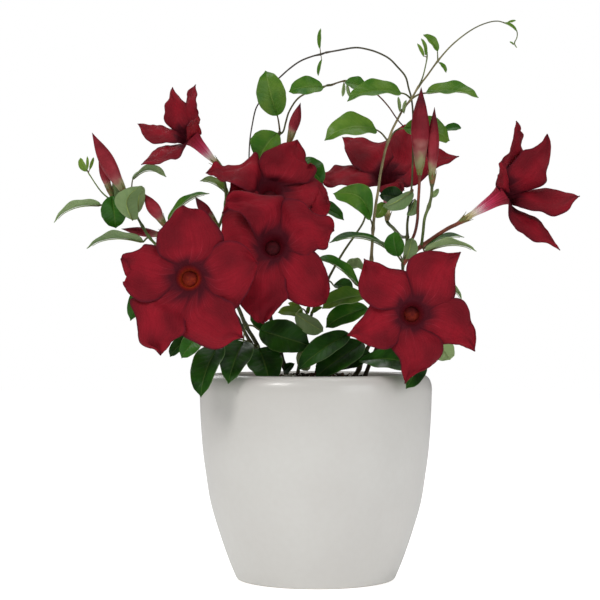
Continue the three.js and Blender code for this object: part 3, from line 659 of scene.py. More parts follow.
# Turns the mesh into a piece on the root body, with edges sharper than an angle left unsmoothed.
def finishPiece(mesh, name, looks, nodes=(), sharp=55):
    for edge in mesh.edges:
        edge.smooth = edge.calc_face_angle(0) < math.radians(sharp)
    for face in mesh.faces:
        face.smooth = True
    data = bpy.data.meshes.new(name)
    mesh.to_mesh(data)
    mesh.free()
    for look in looks:
        data.materials.append(bpy.data.materials[look])
    piece = bpy.data.objects.new(name, data)
    scene.collection.objects.link(piece)
    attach(piece, "root")
    if nodes:
        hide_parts(*nodes)


# The pot's outline in (radius, height) pairs: its side from foot to shoulder, then its rim and lip, which are
# curves.
pot = {
    "side": [(47.1, 0), (51.5, 10), (56.8, 25), (62.8, 45), (65.6, 62), (67.6, 77), (68.9, 96), (69.5, 112)],
    "rim": [(69.5, 112), (69.7, 118.6), (67, 122), (62, 122)], "rimPoints": 12,
    "lip": [(62, 122), (60.4, 122.1), (58.3, 122), (58, 120.4)], "lipPoints": 7,
    "mouth": 58, "wall": 4, "floor": 6, "heel": 2, "steps": 128, "sideStep": 4,
    "corner": 1.2, "recess": 1.4, "footRing": 42, "footSlope": 1.5,
}
soil = {
    "edge": 113, "mound": 8, "gap": 0.5, "lift": 0.3, "clear": 4, "steps": 96, "rings": 34,
    "lump": 1.5, "lumpScale": 180, "fineShare": 0.6, "fineScale": 480, "flatEdge": 6, "border": 0.5,
}
crumbs = {
    "count": 420, "edge": 3.5, "lift": 0.4, "sizes": (0.9, 2.3), "lots": (5, 3, 1.2), "dent": 0.35,
    "dentScale": 1500,
    # lengths, widths and heights of peat, bark and perlite
    "shapes": [(1.0, 0.85, 0.7), (1.9, 0.9, 0.5), (1.0, 0.85, 0.7)],
}


def flatCurve(rows, count):
    line = interpolate_bezier(*[Vector((radius, 0, height)) for radius, height in rows], count)
    return [(point.x, point.z) for point in line[1:]]


# The pot's inner wall from the floor up, drawn in by a gap.
def innerWall(gap=0):
    return [(min(radius - pot["wall"], pot["mouth"]) - gap, height) for radius, height in pot["side"]
            if pot["floor"] < height < soil["edge"] - soil["clear"]]


def soilTop(radius):
    return soil["edge"] + soil["mound"] * (1 - (radius / (pot["mouth"] - soil["gap"])) ** 2)


def buildPot():
    corner, bottom = pot["corner"], pot["side"][0][0]
    foot = [(0, pot["recess"]), (pot["footRing"] - pot["footSlope"], pot["recess"]), (pot["footRing"], 0),
            (bottom - corner, 0), (bottom - 0.2 * corner, 0.2 * corner)]
    side = [Vector((radius, 0, height)) for radius, height in pot["side"][1:]]
    outside = smoothLine([Vector((bottom + corner * 0.5, 0, corner))] + side, pot["sideStep"])
    wall = innerWall()[::-1]
    profile = foot + [(point.x, point.z) for point in outside]
    profile += flatCurve(pot["rim"], pot["rimPoints"]) + flatCurve(pot["lip"], pot["lipPoints"]) + wall
    profile += [(wall[-1][0] - pot["heel"], pot["floor"]), (0, pot["floor"])]
    mesh = newMesh()
    faces = addTurned(mesh, [(r * mm, z * mm) for r, z in profile], pot["steps"], 0)[1]
    for face in faces:
        centre = face.calc_center_median()
        if centre.z < (pot["recess"] + 0.1) * mm and centre.xy.length < (bottom - corner * 0.6) * mm:
            face.material_index = 1
    finishPiece(mesh, "pot_body", ["potGlaze", "bareClay"], ["pot"], sharp=40)
    print("pot: spun body with its foot ring and rim")


# The soil's top is lumpy, with crumbs of peat, bark and perlite half sunk in it.
def buildSoil():
    wall = innerWall(soil["gap"])
    topRadius = wall[-1][0]
    base = pot["floor"] + soil["lift"]
    profile = [(0, base), (wall[0][0] - pot["heel"], base)] + wall
    for ring in range(soil["rings"], -1, -1):
        radius = topRadius * ring / soil["rings"]
        profile.append((radius, soilTop(radius)))
    mesh = newMesh()
    verts = addTurned(mesh, [(r * mm, z * mm) for r, z in profile], soil["steps"], 0)[0]
    border = soil["border"]
    for vert in verts:
        if vert.co.z > (soil["edge"] - border) * mm and vert.co.xy.length < (topRadius - border) * mm:
            fine = soil["fineShare"] * noise.noise(vert.co * soil["fineScale"])
            lump = noise.noise(vert.co * soil["lumpScale"]) + fine
            settled = smooth(topRadius, topRadius - soil["flatEdge"], vert.co.xy.length / mm)
            vert.co.z += soil["lump"] * mm * lump * settled
    dice = random.Random("crumbs")
    for i in range(crumbs["count"]):
        radius = (topRadius - crumbs["edge"]) * math.sqrt(dice.random())
        angle = dice.uniform(0, math.tau)
        height = soilTop(radius) + crumbs["lift"]
        at = Vector((radius * math.cos(angle), radius * math.sin(angle), height)) * mm
        size = dice.uniform(*crumbs["sizes"]) * mm
        kind = dice.choices((0, 1, 2), crumbs["lots"])[0]
        axis = Vector((dice.gauss(0, 1), dice.gauss(0, 1), dice.gauss(0, 1))).normalized()
        turn = Quaternion(axis, dice.uniform(0, math.tau)).to_matrix().to_4x4()
        stretch = Matrix.Diagonal((*[size * part for part in crumbs["shapes"][kind]], 1))
        placed = Matrix.Translation(at) @ turn @ stretch
        crumb = bmesh.ops.create_icosphere(mesh, subdivisions=1, radius=1, matrix=placed)["verts"]
        for vert in crumb:
            vert.co += (vert.co - at) * crumbs["dent"] * noise.noise(vert.co * crumbs["dentScale"])
        for face in {face for vert in crumb for face in vert.link_faces}:
            face.material_index = kind
    finishPiece(mesh, "soil_mound", ["peat", "bark", "perlite"], ["potting_soil"], sharp=60)
    print("soil: mound and", crumbs["count"], "crumbs")


# A vine is a list of tapering runs: the first is its main stem and the others branch off it. growsFrom names
# the vine, run and point that a run starts at, and holds the bud or flower at its end.
vines = {
    "vine_left": [
        {"rooted": True, "radii": (2.1, 1), "points": [
            (-32, 114.5, -4), (-35, 138, -8), (-42, 151, -12), (-48, 164.5, -16), (-56, 173.5, -18),
            (-66.5, 181, -18), (-76.5, 188, -16), (-86, 194, -14), (-94.5, 198.5, -12),
            (-100, 204, -11), (-104, 210.5, -10), (-108.5, 218, -10), (-114, 224, -10),
        ]},
        {"radii": (0.9, 0.5), "points": [
            (-114, 224, -10), (-120.5, 225, -11), (-127.5, 230, -12), (-132.5, 236.5, -13),
            (-136.5, 242.5, -13),
        ]},
        {"radii": (0.9, 0.8), "holds": "bud_left_tall", "points": [
            (-108.5, 218, -10), (-111.5, 224, -7),
        ]},
        {"radii": (0.8, 0.7), "holds": "bud_left_short", "points": [(-114, 224, -10), (-120, 226, -5)]},
        {"radii": (0.9, 0.8), "holds": "bud_left_inner", "points": [
            (-94.5, 198.5, -12), (-90.5, 204, -8),
        ]},
        {"radii": (0.9, 0.8), "holds": "bud_left_level", "points": [(-86, 194, -14), (-84.5, 200, -8)]},
        {"radii": (1, 1.1), "holds": "flower_front_left", "points": [
            (-66.5, 181, -18), (-70.5, 180, -26),
        ]},
    ],
    "vine_left_rear": [
        {"rooted": True, "radii": (1.9, 0.9), "points": [
            (-27, 114.5, 6), (-32, 129, 4), (-39, 140.5, 0), (-46.5, 154.5, -1), (-52.5, 166, 2),
            (-58.5, 178, 6), (-62, 189, 9), (-63.5, 199, 11), (-62, 207, 11),
        ]},
        {"radii": (0.9, 0.8), "holds": "bud_left_upper", "points": [(-62, 207, 11), (-60, 209, 9)]},
        {"radii": (0.9, 1), "holds": "flower_upper_left", "points": [
            (-63.5, 199, 11), (-57, 213, 18), (-54, 224, 20), (-54.5, 236, 18), (-57.5, 243.5, 13),
        ]},
    ],
    "vine_center": [
        {"rooted": True, "radii": (2, 1), "points": [
            (-17, 114.5, 10), (-19, 127, 10), (-22, 139, 8), (-26, 151, 6), (-27.5, 163, 6),
            (-26, 175, 8), (-26, 186.5, 10), (-28.5, 198.5, 20), (-32, 210.5, 31), (-31, 223, 34),
            (-26, 238, 32), (-22.5, 253, 26), (-22, 265.5, 22), (-21.5, 267.5, 22),
        ]},
        {"radii": (1, 1.1), "holds": "flower_center", "points": [(-26, 186.5, 10), (-25.5, 194, 4)]},
        {"radii": (1, 1.1), "holds": "flower_center_top", "points": [
            (-28.5, 198.5, 20), (-28.5, 204, 21),
        ]},
        {"radii": (0.9, 0.8), "holds": "bud_center", "points": [(-22.5, 253, 26), (-18, 257.5, 21)]},
    ],
    "vine_tall": [
        {"rooted": True, "radii": (1.9, 1.1), "points": [
            (22.5, 114.5, 0), (26, 125, -2), (30, 135, -5), (34.5, 144.5, -8), (36, 157, -8),
            (35, 172, -6), (33.5, 190.5, -4), (34, 201, -4), (34.5, 209, -4), (35, 214.5, -5),
            (36, 223, -6), (37.5, 231.5, -6), (39, 242, -6), (41.5, 254.5, -6), (43.5, 261.5, -6),
            (44, 263, -6),
        ]},
    ],
    "vine_tall_shoot": [
        {"growsFrom": ("vine_tall", 0, 15), "radii": (1.1, 0.5), "points": [
            (44.5, 264, -6), (46, 268.5, -6), (49, 274.5, -6), (53, 281.5, -6), (57.5, 287, -6),
            (62, 294.5, -5), (67, 301, -4), (73.5, 310, -3), (80.5, 318, -2), (88.5, 325, -1),
            (96, 330, 0), (103, 333, 1), (109.5, 334, 2), (115, 332.5, 3),
        ]},
        {"radii": (0.7, 0.5), "points": [
            (62, 294.5, -5), (64.5, 300.5, -7), (66, 306.5, -8), (67, 312, -8), (67, 315.5, -8),
        ]},
        {"radii": (0.6, 0.4), "points": [
            (115, 332.5, 3), (118.5, 330.5, 4.5), (121, 328, 5), (121, 324, 4.5), (119.5, 320.5, 4),
            (121, 318, 3.5),
        ]},
    ],
    "vine_right": [
        {"rooted": True, "radii": (2, 1), "points": [
            (29, 114.5, 9), (32, 127, 7), (37.5, 139, 3), (44.5, 153, 0), (49.5, 166, -2),
            (52, 178, -3), (52.5, 188, -4), (54, 196, -4), (55, 204, -4), (55, 212, -3),
            (56.5, 223, -1), (57.5, 232, 1),
        ]},
        {"radii": (1.1, 1.2), "holds": "flower_right", "points": [
            (52.5, 188, -4), (59.5, 195, -6), (63.5, 198.5, -6), (72, 204.5, -5), (80, 209.5, -4),
        ]},
        {"radii": (0.9, 0.9), "holds": "bud_right_tall", "points": [
            (54, 196, -4), (59, 205, -9), (61, 213.5, -10), (61.5, 223, -10), (62, 231, -10),
        ]},
        {"radii": (0.9, 0.9), "holds": "bud_right_short", "points": [
            (63.5, 198.5, -6), (64.5, 207, -11), (65.5, 215.5, -13), (68, 222.5, -12),
            (69.5, 228.5, -11),
        ]},
        {"radii": (1, 1.1), "holds": "flower_front_right", "points": [
            (49.5, 166, -2), (53.5, 162.5, -18),
        ]},
        {"radii": (1, 1.1), "holds": "flower_right_rear", "points": [
            (55, 204, -4), (51, 204.5, 24), (46.5, 209.5, 46),
        ]},
    ],
    "vine_middle": [
        {"rooted": True, "radii": (1.6, 0.8), "points": [
            (-11, 114.5, 14), (-10, 127, 13), (-7, 141, 11), (-3.5, 154.5, 8), (1.5, 167.5, 8),
            (7, 178, 8), (12.5, 188, 8), (18, 197, 8), (23.5, 205, 8), (29, 214, 8), (30, 222.5, 11),
            (27, 230, 14),
        ]},
    ],
    "vine_arch_fall": [
        {"growsFrom": ("vine_right", 0, 11), "radii": (0.9, 0.8), "points": [
            (57.5, 234, 1), (58, 240, 3), (58.5, 256, 4), (58.5, 277.5, 1), (57.5, 288, 0),
            (56, 293.5, 1), (54, 300.5, 2), (49, 306.5, 3), (44, 311.5, 4), (37.5, 315, 5),
            (31, 317, 6), (24, 318, 7), (14, 316.5, 8), (6, 315, 9),
        ]},
    ],
    "vine_arch_rise": [
        {"growsFrom": ("vine_arch_fall", 0, 13), "radii": (0.8, 0.6), "points": [
            (5, 314.5, 9), (3, 314, 9), (-1.5, 313, 10), (-9, 310, 12), (-15.5, 305.5, 15),
            (-21, 300.5, 19), (-28.5, 293, 23), (-33.5, 285.5, 23), (-36, 281, 23), (-38, 272, 23),
            (-39.5, 262.5, 22), (-40, 252, 22), (-39.5, 243, 24),
        ]},
    ],
    "vine_arch_inner": [
        {"growsFrom": ("vine_center", 0, 12), "radii": (0.9, 0.6), "points": [
            (-22, 265.5, 22), (-19.5, 267.5, 20.5), (-18, 273, 19.5), (-16, 279.5, 18),
            (-10.5, 287.5, 14), (-3.5, 291.5, 12), (4.5, 294.5, 10), (9.5, 295.5, 8), (13.5, 297, 8),
            (18, 298, 8), (25, 296.5, 9.5), (30, 293.5, 11), (36, 290.5, 12), (43, 283.5, 14),
            (49, 275, 17), (51.5, 272, 18), (56.5, 267.5, 21), (64, 267, 24),
        ]},
    ],
}

stem = {
    "step": 1.3, "sides": 10, "slim": 0.66, "rootDepth": 2.5, "flare": 0.5, "flareReach": 8,
    "swelling": 0.42, "swellingReach": 1.9, "uneven": 0.04, "unevenScale": 160,
    "wobble": 0.15, "wobbleScale": 70, "stillPoints": 6,
    "skins": {
        "woody": tint(58, 46, 32), "bark": tint(84, 76, 50), "olive": tint(96, 104, 60),
        "khaki": tint(160, 148, 108), "green": tint(96, 122, 60), "thin": tint(74, 68, 60),
        "wine": tint(104, 44, 40), "brick": tint(136, 66, 44), "fresh": tint(128, 152, 80),
    },
    # skin at the first and last point of each run
    "runs": {
        "vine_left": [("woody", "green"), ("green", "fresh"), ("green", "green"), ("green", "green"),
                      ("green", "brick"), ("green", "brick"), ("green", "olive")],
        "vine_left_rear": [("woody", "olive"), ("olive", "green"), ("olive", "green")],
        "vine_center": [("woody", "olive"), ("olive", "green"), ("olive", "green"), ("olive", "brick")],
        "vine_tall": [("bark", "khaki")],
        "vine_tall_shoot": [("khaki", "olive"), ("olive", "fresh"), ("olive", "fresh")],
        "vine_right": [("woody", "olive"), ("brick", "brick"), ("wine", "brick"), ("green", "olive"),
                       ("olive", "green"), ("olive", "green")],
        "vine_middle": [("bark", "olive")],
        "vine_arch_fall": [("olive", "thin")],
        "vine_arch_rise": [("thin", "thin")],
        "vine_arch_inner": [("olive", "wine")],
    },
}

# The cup under a bud or a flower: its length along the stalk, how much its last rings swell, and its sepals.
calyx = {
    "length": 4, "gap": 0.3, "foot": 1.0, "swelling": (1.75, 1.6, 1.3),
    "sepals": 5, "sepalLength": 8.5, "sepalWidth": 2.6, "sepalThickness": 0.25, "columns": 4, "rows": 9,
    "budSlim": 0.85, "flowerSpread": 0.4, "spread": (0.2, 1.1), "tipShare": 0.04, "taper": 1.6,
    "radius": 1.35, "fullness": 1.0, "keel": 0.12, "start": 0.55, "tone": 0.6,
}


def runPoints(run):
    points = [place(row) for row in run["points"]]
    if "rooted" in run:
        foot = points[0]
        foot.z = (soilTop(foot.xy.length / mm) - stem["rootDepth"]) * mm
    if "growsFrom" in run:
        vine, index, at = run["growsFrom"]
        points[0] = runPoints(vines[vine][index])[at].copy()
    return points


# Where a bud or flower sits on its stalk, and the way it points.
def seatOf(name):
    if name in buds:
        point = place(buds[name][0])
        return point, (place(buds[name][1]) - point).normalized()
    mouth, facing, length = flowers[name][:3]
    way = Vector(facing).normalized()
    return place(mouth) - way * length * mm, way


# A run's points, with two more in the cup where it holds a bud or flower.
def stalkPoints(run):
    points = runPoints(run)
    if "holds" in run:
        seat, way = seatOf(run["holds"])
        points.append(seat - way * calyx["length"] * mm)
        points.append(seat - way * calyx["gap"] * mm)
    return points


# Points where leaves and side shoots leave a vine, which swells there.
def jointsOf(name):
    joints = [runPoints(vines[row[1]][row[2]])[row[3]] for row in leaves + joinedLeaves if row[1] == name]
    joints += [runPoints(run)[0] for run in vines[name][1:]]
    return joints + [runPoints(vines[other][0])[0] for other in vines if other != name]


def buildVine(name):
    mesh = newMesh()
    joints = jointsOf(name)
    for run, skinNames in zip(vines[name], stem["runs"][name]):
        upright = Vector((0, 0, 1)) if "rooted" in run else None
        line = smoothLine(stalkPoints(run), stem["step"] * mm, upright)
        first, second = [radius * (1 if "holds" in run else stem["slim"]) for radius in run["radii"]]
        firstSkin, secondSkin = [Vector(stem["skins"][key]) for key in skinNames]
        last = len(line) - 1
        radii, skins = [], []
        for i, point in enumerate(line):
            share = i / last
            nearest = min((point - joint).length for joint in joints)
            swollen = math.exp(-(nearest / (stem["swellingReach"] * mm)) ** 2) * stem["swelling"]
            uneven = stem["uneven"] * noise.noise(point * stem["unevenScale"])
            flare = 0
            if "rooted" in run:
                flare = stem["flare"] * smooth(stem["flareReach"] * mm, 0, (point - line[0]).length)
            radii.append(mixed(first, second, share) * mm * (1 + swollen + uneven + flare))
            skins.append(tuple(mixed(firstSkin, secondSkin, share)))
            if 0 < i < last and "holds" not in run:
                sway = Vector([noise.noise(point * stem["wobbleScale"] + Vector((k * 7.3, 0, 0)))
                               for k in range(3)])
                moving = smooth(0, stem["stillPoints"], min(i, last - i))
                line[i] = point + sway * stem["wobble"] * mm * moving
        if "holds" in run:
            for back, grown in enumerate(calyx["swelling"], 1):
                radii[-back] = max(radii[-back], calyx["foot"] * grown * mm)
        addTube(mesh, line, radii, stem["sides"], 0, skins, upright)
        if "holds" in run:
            addSepals(mesh, run["holds"])
    finishPiece(mesh, name + "_stem", ["stemSkin", "sepalSkin"], [name])


# Five narrow sepals that clasp the foot of a bud or a funnel.
def addSepals(mesh, name):
    seat, way = seatOf(name)
    frameHere = pointing(seat, way)
    dice = random.Random(name)
    start = dice.uniform(0, math.tau)
    length = calyx["sepalLength"] * dice.uniform(0.85, 1.1)
    slim, opened = (calyx["budSlim"], 0) if name in buds else (1.0, calyx["flowerSpread"])
    for k in range(calyx["sepals"]):
        angle = start + math.tau * k / calyx["sepals"] + dice.uniform(-0.12, 0.12)
        spread = dice.uniform(*calyx["spread"]) + opened
        long = length * dice.uniform(0.85, 1.12)

        def shape(u, v, angle=angle, spread=spread, long=long):
            side = (u - 0.5) * 2
            half = calyx["sepalWidth"] / 2 * slim * (1 - (1 - calyx["tipShare"]) * v ** calyx["taper"])
            half *= 0.75 + 0.6 * math.sin(math.pi * min(1, v * 1.3))
            swell = calyx["fullness"] * math.sin(math.pi * min(1, v) * 0.5)
            out = calyx["radius"] + swell + spread * v ** 3
            turnHere = angle + side * half / max(out, 1.2)
            rim = out + calyx["keel"] * (1 - side * side)
            return frameHere @ (Vector((rim * math.cos(turnHere), rim * math.sin(turnHere),
                                        -calyx["length"] * calyx["start"] + long * v)) * mm)
        thick = calyx["sepalThickness"] * mm
        verts = addSheet(mesh, shape, calyx["columns"], calyx["rows"], thick, top=1, under=1)
        markTone(mesh, verts, calyx["tone"])


# A leaf's name, the vine, run and point that it grows from, its base, its tip, the way its top faces, its
# width and the height of its arch.
leaves = [
    ("leaf_left_long", "vine_left", 1, 1, (-129, 223.5, -14), (-157.5, 214, -22), (0, 0.13, 1), 15, 3.5),
    ("leaf_left_round", "vine_left", 1, 1,
     (-122.5, 228.5, -15), (-120, 209.5, -15.5), (0.1, -1, 0.1), 15.5, 1.5),
    ("leaf_left_pale", "vine_left", 0, 12, (-110, 214.2, -20), (-105.3, 234.9, -24), (-0.2, 1, 0.3), 14, 2),
    ("leaf_left_arched", "vine_left", 2, 1, (-110, 239, 2), (-90, 241, 12), (0, 0.25, 1), 11, 4.5),
    ("leaf_left_low", "vine_left", 0, 9, (-103.5, 201.5, -13), (-137.5, 198.5, -20), (0, 0.12, 1), 16, 3.5),
    ("leaf_left_high", "vine_left", 0, 7,
     (-88.5, 213.5, -21), (-64.5, 231, -18), (-0.5, -0.3, 0.9), 12.5, 3),
    ("leaf_rim_far_left", "vine_left", 0, 1,
     (-58, 139.5, -42), (-69.5, 109, -64), (-0.4, -0.85, 0.25), 19, 2.5),
    ("leaf_rim_left", "vine_left", 0, 2, (-43.5, 141, -30), (-52.5, 117.3, -60), (-0.1, -0.95, 0.3), 18.5, 2),
    ("leaf_front_dark", "vine_left", 0, 1,
     (-34, 137, -20), (-27.5, 116, -38), (0.1, -0.95, 0.3), 21, 1.5),
    ("leaf_center_big", "vine_left", 0, 2,
     (-33.5, 148, -18), (-3.5, 139, -28), (0.05, -0.95, 0.25), 20, 2),
    ("leaf_center_pale", "vine_middle", 0, 3, (-12, 157.5, -26), (4.5, 147, -30), (0.2, 0.9, -0.6), 11.5, 1),
    ("leaf_hooked", "vine_tall", 0, 3, (20, 146, -22), (-10.5, 125, -42), (-0.2, -0.9, 0.4), 15, 2.5),
    ("leaf_low_dark", "vine_tall", 0, 2, (28, 140.5, -12), (0.5, 121, -34), (-0.3, -0.9, 0.3), 19, 2),
    ("leaf_rim_right", "vine_tall", 0, 1, (26, 129.5, -26), (61, 126.5, -58), (0.2, -0.9, 0.4), 17.5, 2),
    ("leaf_rim_tip", "vine_right", 0, 2, (60.5, 136, -32), (55, 113.5, -62), (0.5, -0.8, 0.3), 13, 2),
    ("leaf_right_low", "vine_right", 0, 3, (72, 147, 4), (80.5, 130, -2), (-0.3, 0.9, 0.3), 15, 2),
    ("leaf_mid", "vine_tall", 0, 4, (31, 161.5, -12), (6, 150.5, -17), (-0.1, -0.8, 0.6), 15.5, 2),
    ("leaf_mid_upper", "vine_tall", 0, 5, (30, 168.5, -10), (4, 162, -19), (0, -0.7, 0.7), 15, 2),
    ("leaf_mid_top", "vine_tall", 0, 5, (25.5, 175, -9), (1, 192, -16), (0.3, -0.45, 0.8), 14, 2.5),
    ("leaf_long_dark", "vine_right", 0, 6, (45.5, 196, -12), (8.5, 201.5, -27), (0, -0.3, 1), 12, 5),
    ("leaf_right_round", "vine_right", 0, 6,
     (49.5, 192.5, -21), (47, 207, -22), (-0.3, -0.9, 0.2), 12, 1.5),
    ("leaf_right_upper", "vine_right", 1, 2, (65, 197.5, -3), (89, 204.5, 0), (0, -0.22, 1), 9, 2.5),
    ("leaf_right_lower", "vine_right", 1, 2, (65.5, 195.5, -12), (96.5, 196.5, -24), (0, 0.18, 1), 13, 3.5),
    ("leaf_heart", "vine_tall", 0, 8, (33, 214.8, -10), (11, 230.2, -18), (-0.2, -0.9, 0.3), 15.5, 2),
    ("leaf_top_olive", "vine_tall", 0, 14, (36, 269, -12), (5.5, 263.5, -22), (0, -0.8, 0.6), 19, 4.8),
    ("leaf_top_pair", "vine_tall", 0, 14, (53, 269.5, 12), (81, 262.5, 18), (0.1, -0.9, 0.35), 16.5, 2),
    ("leaf_shoot_left", "vine_tall_shoot", 0, 4, (51, 291, -11), (19, 287, -19), (0, -0.68, 0.75), 17, 3.3),
    ("leaf_shoot_right", "vine_tall_shoot", 0, 4, (66.5, 291, -8), (98, 289, -16), (0, -0.62, 0.8), 15, 2.2),
    ("leaf_oval", "vine_center", 0, 13, (-23, 277, 17), (-30, 304, 10), (0, -1, 0.1), 18, 2),
    ("leaf_glossy", "vine_arch_inner", 0, 7, (4.5, 294, 3), (-16, 292, 0), (0, -0.9, 0.45), 13, 1.5),
    ("leaf_round_top", "vine_center", 0, 12, (-23, 266.5, 19), (-34, 250, 20), (-0.2, -0.9, 0.3), 20, 2),
    ("leaf_behind_right", "vine_center", 0, 10, (-10, 250, 24), (4, 236, 17), (0.2, -0.9, 0.3), 15, 2),
    ("leaf_low_left", "vine_left_rear", 0, 4,
     (-67.5, 147.5, -12), (-80.5, 131.5, -16), (0.2, -0.9, 0.4), 11.5, 2),
]

